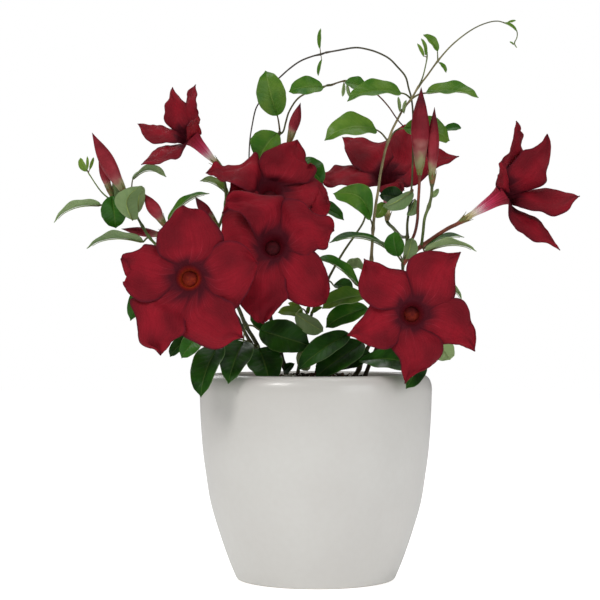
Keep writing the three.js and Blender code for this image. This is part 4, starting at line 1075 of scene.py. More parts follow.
joinedLeaves = [
    ("leaf_left_upright", "vine_left", 0, 11,
     (-107, 218.5, -12), (-104.5, 235, -17), (-0.4, 0.9, -0.1), 9, 1),
    ("leaf_behind_top", "vine_left_rear", 2, 2, (-52.5, 230, 26), (-69, 238.5, 22), (0, -0.45, 0.9), 12, 2),
    ("leaf_low_small", "vine_center", 0, 1, (-18.5, 123.5, 2), (-13, 128, -10), (-0.5, -0.85, 0), 6, 1),
    ("leaf_low_pale", "vine_middle", 0, 2, (-9.5, 136, 4), (-5, 123.5, 0), (-0.3, 0.9, 0.3), 8.5, 1),
    ("leaf_right_mid", "vine_right", 0, 4, (73.5, 173, 6), (88, 167, 4), (0, 0.25, 1), 11, 2.5),
    ("leaf_mid_dark", "vine_middle", 0, 5, (11, 175, 3), (22, 171.5, 0), (0, -0.6, 0.8), 12, 1),
    ("leaf_behind_front", "vine_tall", 0, 6, (30, 184, 2), (17.5, 186, 6), (0, 0.5, 0.85), 12, 2),
    ("leaf_right_grey", "vine_right", 0, 7, (54.5, 191, -11), (58, 203.5, -13), (0.3, 0.8, -0.3), 9, 1),
    ("leaf_grey_high", "vine_right", 0, 11, (58.5, 231.5, -5), (40.5, 221.5, -12), (0.3, 0.7, -0.4), 11, 1),
    ("leaf_grey_low", "vine_right", 0, 10, (60, 226.5, -6), (55.5, 216.5, -10), (0.5, 0.7, -0.2), 7, 1),
    ("leaf_under_rear", "vine_right", 0, 10, (53, 226.5, 6), (38.5, 229.3, 4), (0, -0.9, 0.4), 12, 1),
    ("leaf_heart_pair", "vine_tall", 0, 8, (35.5, 215.8, 1), (42, 224.5, 3), (0.2, -0.9, 0.2), 8, 1),
    ("leaf_top_back", "vine_arch_inner", 0, 17, (77, 268.5, 26), (87.5, 270, 30), (0, -0.8, 0.5), 6, 1),
    ("leaf_curled", "vine_arch_inner", 0, 9, (18, 297, 4), (30.5, 293.5, 3), (0, -0.8, 0.6), 10.5, 1),
    ("leaf_gap_right", "vine_center", 0, 9, (-7.5, 224.5, 22), (17, 215, 6), (0, -0.6, 0.8), 12, 2),
    ("leaf_low_green", "vine_middle", 0, 3, (-7.5, 158, 6), (-22.5, 159, 2), (0, -0.8, 0.6), 8, 1),
    ("leaf_stem_side", "vine_center", 0, 3, (-31.5, 148, 2), (-39, 156.5, 0), (0, -0.8, 0.5), 7.5, 1),
    ("leaf_low_left_pair", "vine_left_rear", 0, 3,
     (-75.5, 144.5, -2), (-87.5, 132.5, -8), (-0.2, -0.9, 0.3), 9, 1.5),
    ("leaf_far_left", "vine_left", 0, 7, (-97, 183, -6), (-111.5, 154, -10), (-0.4, -0.9, 0.1), 12, 2),
    ("leaf_young_top", "vine_tall_shoot", 1, 4,
     (66.2, 313.6, -9), (63.5, 323.5, -10), (0.6, -0.75, 0.1), 3, 0.8),
    ("leaf_young_broad", "vine_tall_shoot", 0, 7,
     (73.5, 316, -5), (65, 326, -7), (0.5, -0.8, 0.3), 6.5, 1),
    ("leaf_young_side", "vine_tall_shoot", 0, 7,
     (74.5, 309, -3), (78.5, 303, -4), (0.5, -0.8, 0.2), 3.2, 0.5),
    ("leaf_shoot_tip", "vine_tall_shoot", 0, 13,
     (114, 333, 1.6), (121, 328, 0), (0.3, -0.8, 0.5), 2.6, 0.6),
    ("leaf_arch_up", "vine_arch_rise", 0, 1, (2.5, 317.5, 9), (3, 329.5, 8), (-0.5, -0.85, 0), 2.8, 0.5),
    ("leaf_arch_down", "vine_arch_rise", 0, 1, (3.5, 310.5, 9), (1.5, 301, 8), (-0.5, -0.85, 0), 2.4, 0.5),
    ("leaf_shoot_small", "vine_left", 1, 4,
     (-137.5, 243.5, -13), (-141.5, 251.5, -14), (-0.5, -0.8, 0.2), 4.6, 0.8),
    ("leaf_left_shade", "vine_left", 0, 10, (-114.5, 222, 1), (-120.5, 238.5, 5), (-0.2, 0.9, -0.1), 9, 1),
    ("leaf_low_shade", "vine_tall", 0, 2, (32.5, 134, -11), (7, 125.5, -15), (-0.3, -0.9, 0.3), 14, 1),
    ("sprig_left_side", "vine_left", 1, 4,
     (-135.8, 244.5, -11.6), (-133.4, 252, -10), (0.3, -0.9, 0), 2, 0.4),
    ("sprig_young", "vine_tall_shoot", 1, 3,
     (65, 312.8, -9.8), (61.2, 320.5, -11.5), (0.3, -0.9, 0), 2.4, 0.4),
    ("sprig_tip_up", "vine_tall_shoot", 0, 13,
     (115.4, 333.2, 4), (120.4, 334.3, 4.5), (0.2, -0.9, 0.3), 1.6, 0.2),
    ("sprig_tip_low", "vine_tall_shoot", 2, 4,
     (119, 320, 4.6), (116.8, 321.4, 5), (0.2, -0.9, 0.3), 1.2, 0.2),
    ("sprig_left", "vine_left", 1, 4, (-137.2, 244.6, -14.6), (-137.2, 252.5, -14), (0.3, -0.9, 0), 1.8, 0.4),
    ("sprig_arch_long", "vine_arch_inner", 0, 9,
     (17, 296.8, 5.6), (16.2, 288.5, 3.5), (0.3, 0.9, -0.1), 2.4, 0.5),
    ("sprig_arch_short", "vine_arch_inner", 0, 9, (19, 296, 6.4), (21, 288, 4), (-0.4, 0.9, -0.2), 2.4, 0.5),
    ("sprig_fork_high", "vine_tall_shoot", 0, 3,
     (50.6, 279.5, -8.5), (49.6, 288.5, -10), (0.3, 0.9, -0.2), 2.2, 0.5),
    ("sprig_fork_low", "vine_tall_shoot", 0, 3,
     (53, 278.5, -9), (54.5, 286.5, -11), (-0.4, 0.9, -0.2), 2.4, 0.5),
    ("sprig_bud_side", "vine_right", 3, 3, (69.5, 228, -8), (74, 233, -6), (0.2, 0.9, 0), 3.4, 0.5),
    ("sprig_low_left", "vine_middle", 0, 3, (-8, 159, 9.5), (-16.5, 164.5, 8), (0, -0.8, 0.5), 4.5, 1),
    ("sprig_low_up", "vine_middle", 0, 3, (-5.5, 157.5, 6), (-4, 163.5, 4), (0.3, -0.9, 0.1), 2.6, 0.5),
    ("sprig_low_right", "vine_middle", 0, 3, (-3, 158, 5), (4, 162, 2), (0, -0.8, 0.5), 3, 0.6),
    ("leaf_rear_low", "vine_left_rear", 0, 2,
     (-45.5, 137.5, 30), (-52.5, 128, 55), (-0.5, 0.5, 0.8), 15, 4),
    ("leaf_rear_side_left", "vine_left", 0, 6,
     (-81.5, 185.5, 12), (-89.5, 180, 37), (-0.6, 0.2, 0.8), 13, 2),
    ("leaf_rear_side_right", "vine_right", 0, 5, (62.5, 173.5, 26), (71, 168, 51), (0.5, 0.2, 0.9), 15, 4),
    ("leaf_rear_inside", "vine_tall", 0, 5, (38.5, 176, 28), (43.5, 167, 54), (-0.4, 0.6, 0.8), 15, 2),
    ("leaf_rear_high", "vine_left_rear", 0, 6, (-67, 189, 34), (-74, 185.5, 60), (0.3, 0.3, 0.9), 12.5, 4),
    ("leaf_rear_low_right", "vine_tall", 0, 3, (38.5, 142, 28), (45.5, 136, 54), (0.6, 0.5, 0.8), 14, 2.5),
    ("leaf_rear_left", "vine_left_rear", 0, 5,
     (-66.5, 173.5, 24), (-76.5, 161, 51), (-0.1, 0.7, 0.7), 16, 3.5),
    ("leaf_rear_center", "vine_center", 0, 4, (-31, 165, 24), (-37, 158.5, 58), (0.4, 0.4, 0.9), 16, 5),
    ("leaf_rear_middle", "vine_middle", 0, 2, (-12, 143.5, 28), (-19, 137.5, 60), (-0.4, 0.3, 0.9), 15, 4.5),
    ("leaf_rear_right", "vine_right", 0, 3, (49.5, 155.5, 18), (57.5, 150, 50), (-0.3, 0.5, 0.9), 15, 2),
    ("leaf_rear_tall", "vine_right", 0, 4, (53.5, 168.5, 16), (63.5, 164, 46), (0.5, 0.6, 0.7), 13, 3.5),
    ("leaf_rear_top", "vine_center", 0, 8, (-34.5, 210.5, 42), (-42, 203.5, 70), (0.3, 0.5, 0.8), 14, 4),
]

# How a blade is shaped. Its folds, waves and grooves are shares of its width.
leaf = {
    "columns": 18, "rows": 30, "thickness": 0.4, "sizes": (3, 14), "fullness": 0.54, "peak": 0.95,
    "tipNarrowing": 0.6, "tipHalf": 0.012,
    "fold": 0.32, "droop": 0.1, "droopFrom": 0.72, "wave": 0.04, "waves": 2.1, "twist": 0.16, "lean": 0.05,
    "veins": 9, "slant": 0.2, "pucker": 0.0072, "groove": 0.03, "grooveHalf": 0.09, "ragged": 0.03,
    "stalk": 0.62, "stalkEnd": 0.16, "stalkSides": 8, "stalkStep": 1.6, "stalkSag": 0.04, "stalkLift": 0.12,
    "ribPoints": (0.05, 0.2, 0.4, 0.6, 0.78, 0.9), "ribDepth": 1.1,
    # how young a blade is, from dark to pale: the usual tones go by the height of its base
    "usualTones": (0.1, 0.5), "toneHeights": (120, 260), "sprigTone": 0.9,
    "tones": {
        "leaf_left_long": 0.8, "leaf_left_round": 0.38, "leaf_left_pale": 0.6, "leaf_left_upright": 0.8,
        "leaf_left_arched": 0.75, "leaf_left_low": 0.5, "leaf_left_high": 0.5, "leaf_shoot_small": 0.9,
        "leaf_behind_top": 1.0, "leaf_oval": 0.7, "leaf_glossy": 0.62, "leaf_round_top": 0.65,
        "leaf_behind_right": 0.4, "leaf_curled": 0.6, "leaf_shoot_left": 0.68, "leaf_shoot_right": 0.72,
        "leaf_top_olive": 0.76, "leaf_top_pair": 0.75, "leaf_top_back": 0.4, "leaf_heart": 0.64,
        "leaf_heart_pair": 0.9, "leaf_under_rear": 0.08, "leaf_grey_high": 0.35, "leaf_grey_low": 0.3,
        "leaf_young_top": 0.75, "leaf_young_side": 0.75, "leaf_young_broad": 0.75, "leaf_shoot_tip": 0.8,
        "leaf_arch_up": 0.7, "leaf_arch_down": 0.7, "leaf_right_upper": 0.3, "leaf_right_lower": 0.95,
        "leaf_right_low": 0.9, "leaf_right_mid": 0.8, "leaf_right_grey": 0.5, "leaf_right_round": 0.4,
        "leaf_long_dark": 0.25, "leaf_mid_top": 0.5, "leaf_mid": 0.54, "leaf_mid_upper": 0.78,
        "leaf_low_left": 0.45, "leaf_rim_right": 0.2, "leaf_behind_front": 0.8, "leaf_center_pale": 0.4,
        "leaf_low_pale": 0.9, "leaf_low_green": 0.8,
    },
    # lean to one side, where it is widest and twist, for leaves seen folded or askew
    "manners": {
        "leaf_heart": (-0.42, 1.05, 0), "leaf_left_pale": (-0.4, 0.75, 0), "leaf_rim_right": (0.1, 1.4, 0),
        "leaf_rim_far_left": (0, 0.8, 0), "leaf_rim_left": (0, 0.8, 0), "leaf_shoot_left": (0, 0.78, 0.2),
        "leaf_shoot_right": (0, 0.85, -0.2), "leaf_top_olive": (0, 0.8, 0.2),
        "leaf_top_pair": (0.12, 0.95, 0),
    },
}


def buildLeaf(row, joined):
    name, vine, index, at, baseRow, tipRow, face, width, arch = row
    dice = random.Random(name)
    base = place(baseRow)
    length = place(tipRow) - base
    ahead = length.normalized()
    normal = Vector(face)
    normal = (normal - ahead * normal.dot(ahead)).normalized()
    across = normal.cross(ahead)
    usual = leaf["sprigTone"]
    if not name.startswith("sprig"):
        usual = mixed(*leaf["usualTones"], smooth(*leaf["toneHeights"], base.z / mm))
    tone = leaf["tones"].get(name, usual)
    phase = dice.uniform(0, math.tau)
    twist = dice.uniform(-1, 1) * leaf["twist"] * smooth(4, 2, arch)
    wavy = leaf["wave"] * dice.uniform(0.6, 1.4)
    lean = dice.uniform(-leaf["lean"], leaf["lean"])
    lean, peak, twist = leaf["manners"].get(name, (lean, leaf["peak"], twist))

    # Share of the half width at a share of the length.
    def outline(s):
        grow = abs(math.sin(math.pi * s ** peak)) ** leaf["fullness"]
        return max(leaf["tipHalf"], grow * (1 - leaf["tipNarrowing"] * smooth(0.9, 0.98, s)))

    def lift(s, side):
        raised = arch * math.sin(math.pi * s) + abs(side) * width / 2 * outline(s) * leaf["fold"]
        raised -= leaf["droop"] * width * smooth(leaf["droopFrom"], 1, s) ** 2
        vein = (s - leaf["slant"] * abs(side) ** 0.85) * leaf["veins"]
        bulge = math.cos(math.tau * vein) * abs(side) * (1 - abs(side))
        raised -= leaf["pucker"] * width * bulge * outline(s)
        ripple = math.sin(math.tau * leaf["waves"] * s + phase + (2.1 if side > 0 else 0))
        raised += wavy * width * ripple * side * side * outline(s)
        return raised - leaf["groove"] * width * math.exp(-(side / leaf["grooveHalf"]) ** 2) * (1 - s)

    def shape(u, v):
        side = (u - 0.5) * 2
        turn = twist * (v - 0.3)
        flat = across * math.cos(turn) + normal * math.sin(turn)
        up = normal * math.cos(turn) - across * math.sin(turn)
        ragged = 1 + leaf["ragged"] * noise.noise(Vector((v * 9, side * 3, phase)))
        half = width / 2 * outline(v) * ragged
        bow = lean * width * math.sin(math.pi * v)
        return base + length * v + (flat * (side * half + bow) + up * lift(v, side)) * mm

    mesh = newMesh()
    addSheet(mesh, shape, leaf["columns"], leaf["rows"], leaf["thickness"] * mm, top=1, under=0)
    markTone(mesh, mesh.verts, tone)
    layer = mesh.verts.layers.float["along"]
    for vert in mesh.verts:
        vert[layer] = smooth(*leaf["sizes"], width)

    # The stalk runs on under the blade as its midrib.
    joint = runPoints(vines[vine][index])[at]
    below = normal * leaf["thickness"]
    rib = [shape(0.5, share) - below * leaf["ribDepth"] * mm for share in leaf["ribPoints"]]
    bend = (Vector((0, 0, leaf["stalkLift"])) - normal * leaf["stalkSag"]) * (base - joint).length
    points = [joint, mixed(joint, base, 0.5) + bend, base - below * mm] + rib
    line = smoothLine(points, leaf["stalkStep"] * mm)
    last = len(line) - 1
    slender = min(1, max(0.5, width / 9))
    reddish = dice.uniform(0.2, 0.8) * (1 - 0.4 * (1 - tone))
    stalkSkin = mixed(Vector(stem["skins"]["green"]), Vector(stem["skins"]["wine"]), reddish)
    ribSkin = Vector(leafTints["vein"])
    shares = [i / last for i in range(last + 1)]
    radii = [mixed(leaf["stalk"], leaf["stalkEnd"], share ** 0.8) * mm * slender for share in shares]
    skins = [tuple(mixed(stalkSkin, ribSkin, smooth(0.25, 0.6, share))) for share in shares]
    addTube(mesh, line, radii, leaf["stalkSides"], 2, skins)
    finishPiece(mesh, name + "_blade", ["leafTop", "leafUnder", "stemSkin"], [] if joined else [name])


# Mouth of the funnel, way it faces, funnel length, lobe width, then its lobes. A lobe is its tip, how far its
# first margin is lifted over the neighbour, and both margins from throat to tip as steps from the mouth.
flowers = {
    "flower_front_left": ((-76, 179.5, -70), (0.02, -1, 0.06), 33, 40, [
        ((-79.5, 223, -71), 2,
         [(-8, 7), (-12.5, 10), (-17, 14.5), (-18.5, 19.5), (-18.5, 27), (-16, 30.5), (-11.5, 35.5),
          (-8, 40.5)],
         [(6, 8.5), (11, 12.5), (15, 18), (17.5, 24), (17, 29.5), (14.5, 34), (11, 39), (6.5, 41.5),
          (0, 42)]),
        ((-117, 191, -72), 2,
         [(-8.5, -4.5), (-14, -9), (-20.5, -12.5), (-28, -14), (-33, -12), (-36.5, -9), (-38.5, -6),
          (-40, -2.5), (-38.5, 0), (-39, 4.5)],
         [(-9.5, 4.5), (-15.5, 9.5), (-20.5, 16.5), (-26.5, 20.5), (-29, 18), (-33, 16), (-39.5, 14.5)]),
        ((-93, 133, -77), 2,
         [(-0.5, -11), (-2, -16.5), (-3, -23), (-3, -29), (-2.5, -32.5), (-5, -35.5), (-9, -38),
          (-12.5, -42)],
         [(-8.5, -6), (-15, -10.5), (-23.5, -12.5), (-32, -13.5), (-33.5, -16.5), (-32, -21.5), (-31, -29),
          (-29.5, -38.5), (-25, -41), (-21, -42.5)]),
        ((-43.5, 143.5, -76), 2,
         [(9.5, -7.5), (15, -11), (21.5, -14), (26, -15.5), (28, -20), (30, -25.5), (32, -31.5)],
         [(0.5, -11.5), (-2, -17), (-3, -23), (-3, -29), (-1, -32.5), (3, -36.5), (8.5, -40.5), (14.5, -42),
          (21, -39.5), (26.5, -37)]),
        ((-34.5, 188.5, -70), 2,
         [(8, 6.5), (11.5, 12.5), (17, 19), (24, 22), (30.5, 21), (36.5, 16.5)],
         [(9.5, -6.5), (14, -9.5), (19, -13.5), (27, -15.5), (32.5, -12), (36.5, -6.5), (39, 0.5)]),
    ]),
    "flower_center": ((-25.5, 199, -43), (0.05, -0.98, 0.18), 33, 36, [
        ((-53, 225, -44), 2,
         [(-8.5, 5), (-13.5, 13), (-18.5, 18), (-23.5, 20), (-27, 22)],
         [(1, 8.5), (3.5, 14.5), (4.5, 21), (3.5, 27.5), (-2, 29.5), (-8, 31.5), (-15, 33), (-21, 33),
          (-25.5, 31.5)]),
        ((-61.5, 191.5, -36), 2,
         [(-7.5, -6.5), (-11, -11), (-16.5, -15.5), (-23.5, -16.5), (-30.5, -13.5)],
         [(-9.5, 4.5), (-13.5, 10.5), (-18, 16.5), (-23.5, 19.5), (-27.5, 20), (-31.5, 17.5), (-33, 10.5),
          (-34.5, 2)]),
        ((-31.5, 152, -52), 2,
         [(2.5, -8), (4.5, -13.5), (6, -20), (7, -26), (9, -31.5), (6.5, -34.5), (2.5, -39), (-2, -44)],
         [(-6.5, -7.5), (-11.5, -15), (-14.5, -22), (-18.5, -28), (-20.5, -33), (-18, -37.5), (-13.5, -42),
          (-10.5, -45.5)]),
        ((6, 164.5, -50), 2,
         [(8.5, -2), (14.5, -2.5), (21, -3.5), (26.5, -7), (30.5, -12.5), (33, -19), (34, -25.5), (33, -31)],
         [(3.5, -7), (4.5, -13.5), (6, -20), (7.5, -26), (10, -31.5), (14.5, -35), (20.5, -36.5),
          (27, -36.5)]),
        ((10.5, 207.5, -44), 2,
         [(2.5, 8), (4.5, 14.5), (5.5, 22), (7.5, 26.5), (12, 27), (17.5, 25), (22.5, 21), (28, 18),
          (34, 17), (36, 14)],
         [(8.5, -1), (14.5, -2), (20.5, -2), (25.5, -1.5), (31, -1.5), (32.5, 2), (34, 5.5)]),
    ]),
    "flower_center_top": ((-27.5, 233, -4), (0.03, -0.75, 0.66), 30, 34, [
        ((-11, 262.5, 8), 2,
         [(-1.5, 4), (-4.5, 10), (-5.5, 15.5), (-3.5, 19.5), (0.5, 23), (6, 26), (11.5, 27)],
         [(8.5, 3), (15.5, 5), (21, 8), (25.5, 10.5), (27, 13), (23, 15), (20.5, 18), (20.5, 21.5),
          (18.5, 25.5)]),
        ((-66, 242.5, -3), 2,
         [(-3.5, -0.5), (-10, -0.5), (-17, 0), (-23.5, 1), (-28, 3), (-33.5, 6)],
         [(-3, 4), (-6, 11), (-7.5, 16.5), (-10.5, 19.5), (-13.5, 17.5), (-20.5, 15.5), (-25.5, 16),
          (-28.5, 15), (-32.5, 16.5), (-34.5, 13.5)]),
        ((-56, 218, -20), 2,
         [(-1, -4), (-4.5, -10.5), (-10.5, -15), (-18, -17.5), (-24, -17.5)],
         [(-3.5, 0), (-10.5, 1.5), (-18, 3.5), (-23.5, 4), (-25, -1), (-27, -7)]),
        ((-26, 204.5, -26), 2,
         [(6.5, -4.5), (10.5, -10.5), (11.5, -17.5), (8.5, -23.5)],
         [(-1, -4.5), (-4.5, -10.5), (-7.5, -17.5), (-6.5, -23.5)]),
        ((9, 224, -8), 2,
         [(9, 1.5), (15, 4), (21.5, 5), (27.5, 4), (32, 0), (34.5, -5)],
         [(9, -3), (13.5, -4.5), (18, -5.5), (23, -7.5), (27, -9), (26, -12), (29.5, -14.5), (34.5, -13.5)]),
    ]),
    "flower_upper_left": ((-75, 264.5, 10), (-0.69, -0.1, 0.72), 25, 32, [
        ((-86, 294, 38), 0,
         [(-7.5, 2), (-12, 5), (-15.5, 8), (-16.5, 10.5), (-15.5, 14.5), (-15.5, 18.5), (-14, 23),
          (-12.5, 27)],
         [(-1, 5.5), (-1, 10), (-1.5, 15), (-3, 19.5), (-6.5, 22.5), (-9, 25.5)]),
        ((-72, 295.5, 16), 0,
         [(-2, 6), (-4, 11.5), (-4.5, 15.5), (-3.5, 19.5), (-2.5, 22.5), (-1.5, 27)],
         [(0, 6), (1.5, 10.5), (3.5, 13.5), (3, 17.5), (2.5, 22.5), (2.5, 27)]),
        ((-107, 272, 30), 0,
         [(-5, -3.5), (-10.5, -3), (-16.5, -3.5), (-22.5, -4), (-26, -2.5), (-28.5, 0.5), (-30, 4.5)],
         [(-6.5, 3), (-11, 5.5), (-16, 6.5), (-21, 7), (-26, 7.5)]),
        ((-104.5, 247.5, -12), 0,
         [(-2, -6), (-5, -7.5), (-7.5, -11.5), (-10.5, -13.5), (-16, -15), (-19.5, -16), (-25.5, -16)],
         [(-4.5, -4), (-10, -4), (-15, -5.5), (-20, -7.5), (-24, -11.5), (-27, -14.5)]),
        ((-70.5, 278, -24), 0,
         [(5.5, 0.5), (5.5, 5), (5, 10)],
         [(-3.5, -3.5), (-2.5, 3.5), (-0.5, 7.5), (2, 10)]),
    ]),
    "flower_right": ((114, 230.5, -6), (0.84, -0.06, 0.54), 30, 34, [
        ((120.5, 273.5, 6), 0,
         [(-1.5, 12.5), (-1, 18.5), (1.5, 24.5), (4, 31), (5.5, 37)],
         [(1.5, 9), (5, 13.5), (8.5, 18), (11, 22.5), (10, 27.5), (10, 31.5), (10.5, 35), (8, 36.5),
          (8.5, 39)]),
        ((139, 266, 14), 0,
         [(-1, 9), (3, 16), (7.5, 21.5), (11, 25.5), (16.5, 27), (21, 31)],
         [(4, -2), (11, 0), (17.5, 2.5), (23, 5), (25.5, 7.5), (25, 12.5), (26.5, 18.5), (26.5, 25.5),
          (26.5, 31)]),
        ((158.5, 228.5, 10), 0,
         [(4, 0.5), (11.5, 1.5), (19.5, 2.5), (26.5, 2.5), (33, 1), (40, 0)],
         [(3, -7.5), (8, -7.5), (13.5, -8.5), (19.5, -11), (25.5, -13.5), (29.5, -14.5), (34, -12.5),
          (37.5, -10), (40.5, -6)]),
        ((146.5, 196, -12), 0,
         [(3, -8), (8.5, -9.5), (14.5, -11.5), (20.5, -15.5), (25.5, -21), (28.5, -26.5)],
         [(1, -8), (2.5, -12), (4.5, -18), (7.5, -22.5), (11.5, -24.5), (17.5, -28.5), (23, -29.5),
          (28, -31.5)]),
        ((111.5, 250, -42), 0,
         [(-6.5, 2.5), (-5, 7.5), (-3.5, 13.5), (-3, 17.5)],
         [(3.5, -3), (3, 3.5), (1.5, 9), (-0.5, 14), (-1.5, 17)]),
    ]),
    "flower_right_rear": ((43.5, 238, 33), (-0.02, -0.7, 0.7), 30, 36, [
        ((1.5, 240, 36), 2,
         [(-5, -0.5), (-12, -2), (-20.5, -4), (-29, -5), (-36, -5), (-40.5, -2)],
         [(-5, 5), (-12, 7.5), (-19.5, 8), (-23.5, 9.5), (-27.5, 10), (-32, 10.5), (-36, 7.5), (-40.5, 5.5)]),
        ((16, 264, 58), 2,
         [(-5.5, 4.5), (-14.5, 6), (-20.5, 8.5), (-24, 12), (-26, 16.5), (-26, 22)],
         [(-1.5, 7), (0, 13.5), (0, 19), (0, 23.5), (-7.5, 24.5), (-15, 27), (-21.5, 26.5)]),
        ((56, 272, 66), 2,
         [(0, 7.5), (1, 14), (1, 20), (1.5, 25.5), (5.5, 30), (8.5, 32.5)],
         [(3.5, 5.5), (9.5, 7.5), (15, 11), (17.5, 17), (16.5, 23), (15, 29)]),
        ((86, 252.5, 50), 2,
         [(4.5, 5), (10.5, 9), (18, 14.5), (24, 17.5), (29.5, 18), (35.5, 15)],
         [(5.5, -0.5), (10, 1.5), (16.5, 5), (23.5, 7.5), (28.5, 9), (34.5, 12)]),
        ((53, 232, 8), 2,
         [(4.5, -1.5), (8.5, -0.5), (9.5, -3)],
         [(-2.5, -1.5), (0, -4), (3.5, -6), (7, -6.5)]),
    ]),
    "flower_front_right": ((58, 158, -70), (0, -1, 0.04), 33, 33, [
        ((29, 191, -72), 2,
         [(-7, 4.5), (-12, 3.5), (-18, 3.5), (-23.5, 5), (-28, 8), (-31, 10.5), (-32.5, 15.5), (-32, 20),
          (-31, 25), (-29.5, 29.5)],
         [(-1, 9.5), (-2, 15), (-4, 20), (-7, 24), (-11, 26.5), (-15, 28), (-20, 30.5), (-25, 31.5)]),
        ((19, 145, -70), 2,
         [(-5, -7.5), (-8, -14), (-12, -18.5), (-16.5, -21), (-20.5, -21), (-25.5, -19.5), (-30, -17),
          (-34.5, -14.5)],
         [(-7.5, 2.5), (-13, 2), (-19, 3), (-23.5, 4), (-27, 1.5), (-31, -3), (-35, -7.5)]),
        ((53.5, 116, -74), 2,
         [(6.5, -5.5), (10.5, -10), (14, -13.5), (16.5, -17), (17.5, -22.5), (15.5, -27), (11.5, -31),
          (7.5, -34), (3, -36), (-1, -38.5)],
         [(-4, -8.5), (-7.5, -14), (-9.5, -18), (-9, -23), (-7, -28), (-6, -34), (-5, -38)]),
        ((95.5, 135.5, -70), 2,
         [(9.5, 6.5), (16.5, 8), (22.5, 8), (27.5, 8), (31, 6), (33.5, 1.5), (35, -4), (37.5, -9),
          (38, -15)],
         [(8, -4), (12.5, -10), (15.5, -14.5), (18.5, -17), (23, -18), (28.5, -18.5), (33.5, -20.5)]),
        ((87, 195, -72), 2,
         [(0.5, 10), (-0.5, 15), (-1.5, 20), (-2.5, 26), (-1.5, 31.5), (0.5, 34), (4.5, 36.5), (9.5, 37.5),
          (15.5, 37.5), (22, 36.5)],
         [(8, 7), (13, 7), (17, 8), (21, 10.5), (24, 13.5), (25.5, 18), (25.5, 23), (26, 28.5), (27.5, 33)]),
    ]),
}

# How a corolla is shaped, in millimetres. Its funnel and cone are pairs of a share of its length and a
# radius.
flower = {
    "columns": 16, "funnelRows": 15, "rows": 56, "funnelShare": 0.27, "thickness": 0.32, "throat": 1.0,
    "funnel": [(0, 1.7), (0.25, 1.9), (0.42, 2.8), (0.6, 3.6), (0.75, 4.3), (0.86, 5.2), (0.94, 6.3),
               (1, 7.7)],
    "cone": [(0.04, 0), (0.04, 0.7), (0.2, 0.6), (0.4, 1.2), (0.56, 2.4), (0.7, 3.5), (0.785, 4.55),
             (0.798, 4.35), (0.812, 3.0), (0.821, 1.5), (0.825, 0)], "coneSteps": 20,
    "spread": 15, "drop": 6, "crown": 0.035, "ruffle": 0.8, "roll": 0.6, "crease": 1.5, "sway": 3.2,
    "marginStep": 0.8, "crimp": 0.2, "crimpScale": 24, "tuck": 2.4, "nearTuck": 0.3, "tipHalf": 0.1,
    "merge": 0.02, "waves": 11, "dents": (1.3, 3.2), "fadeRadii": (9, 5.5), "fadeHeights": (-1.5, 3),
    # how golden the throat's wall and its cone are, how much of the gold is left above where the upper throat
    # is painted in shade, how wavy the lobes are, how far out they stay joined and how wide the mouth is
    "usual": {"wall": 0, "cone": 0, "above": 0, "wavy": 1.0, "joined": 0.24, "wide": 1.0},
    "manners": {
        "flower_front_left": {"wall": 1.0, "cone": 0.9, "above": 0.6},
        "flower_front_right": {"wall": 0.1, "cone": 0.6, "above": 0.2, "wide": 0.95},
        "flower_center_top": {"wavy": 0.9, "joined": 0.22},
        "flower_upper_left": {"wavy": 0.2, "joined": 0.1, "wide": 0.8},
        "flower_right": {"wavy": 0.3, "joined": 0.1},
        "flower_right_rear": {"wavy": 0.5, "joined": 0.12, "wide": 0.85},
    },
}


def funnelRadius(share):
    rows = flower["funnel"]
    for (before, first), (after, second) in zip(rows, rows[1:]):
        if share <= after:
            return mixed(first, second, (share - before) / (after - before))
    return rows[-1][1]


# Gives the point at any share of the way along a margin, which runs from the throat to the tip.
def traceMargin(mouthRow, steps, tipRow):
    rows = [Vector((mouthRow[0] + across, mouthRow[1] + up, 0)) for across, up in steps]
    line = smoothLine(rows + [Vector((tipRow[0], tipRow[1], 0))], flower["marginStep"])
    lengths = [0.0]
    for before, after in zip(line, line[1:]):
        lengths.append(lengths[-1] + (after - before).length)

    def at(share):
        reach = share * lengths[-1]
        for i in range(1, len(line)):
            if reach <= lengths[i]:
                gone = (reach - lengths[i - 1]) / max(1e-9, lengths[i] - lengths[i - 1])
                return line[i - 1].lerp(line[i], gone)
        return line[-1]
    return at


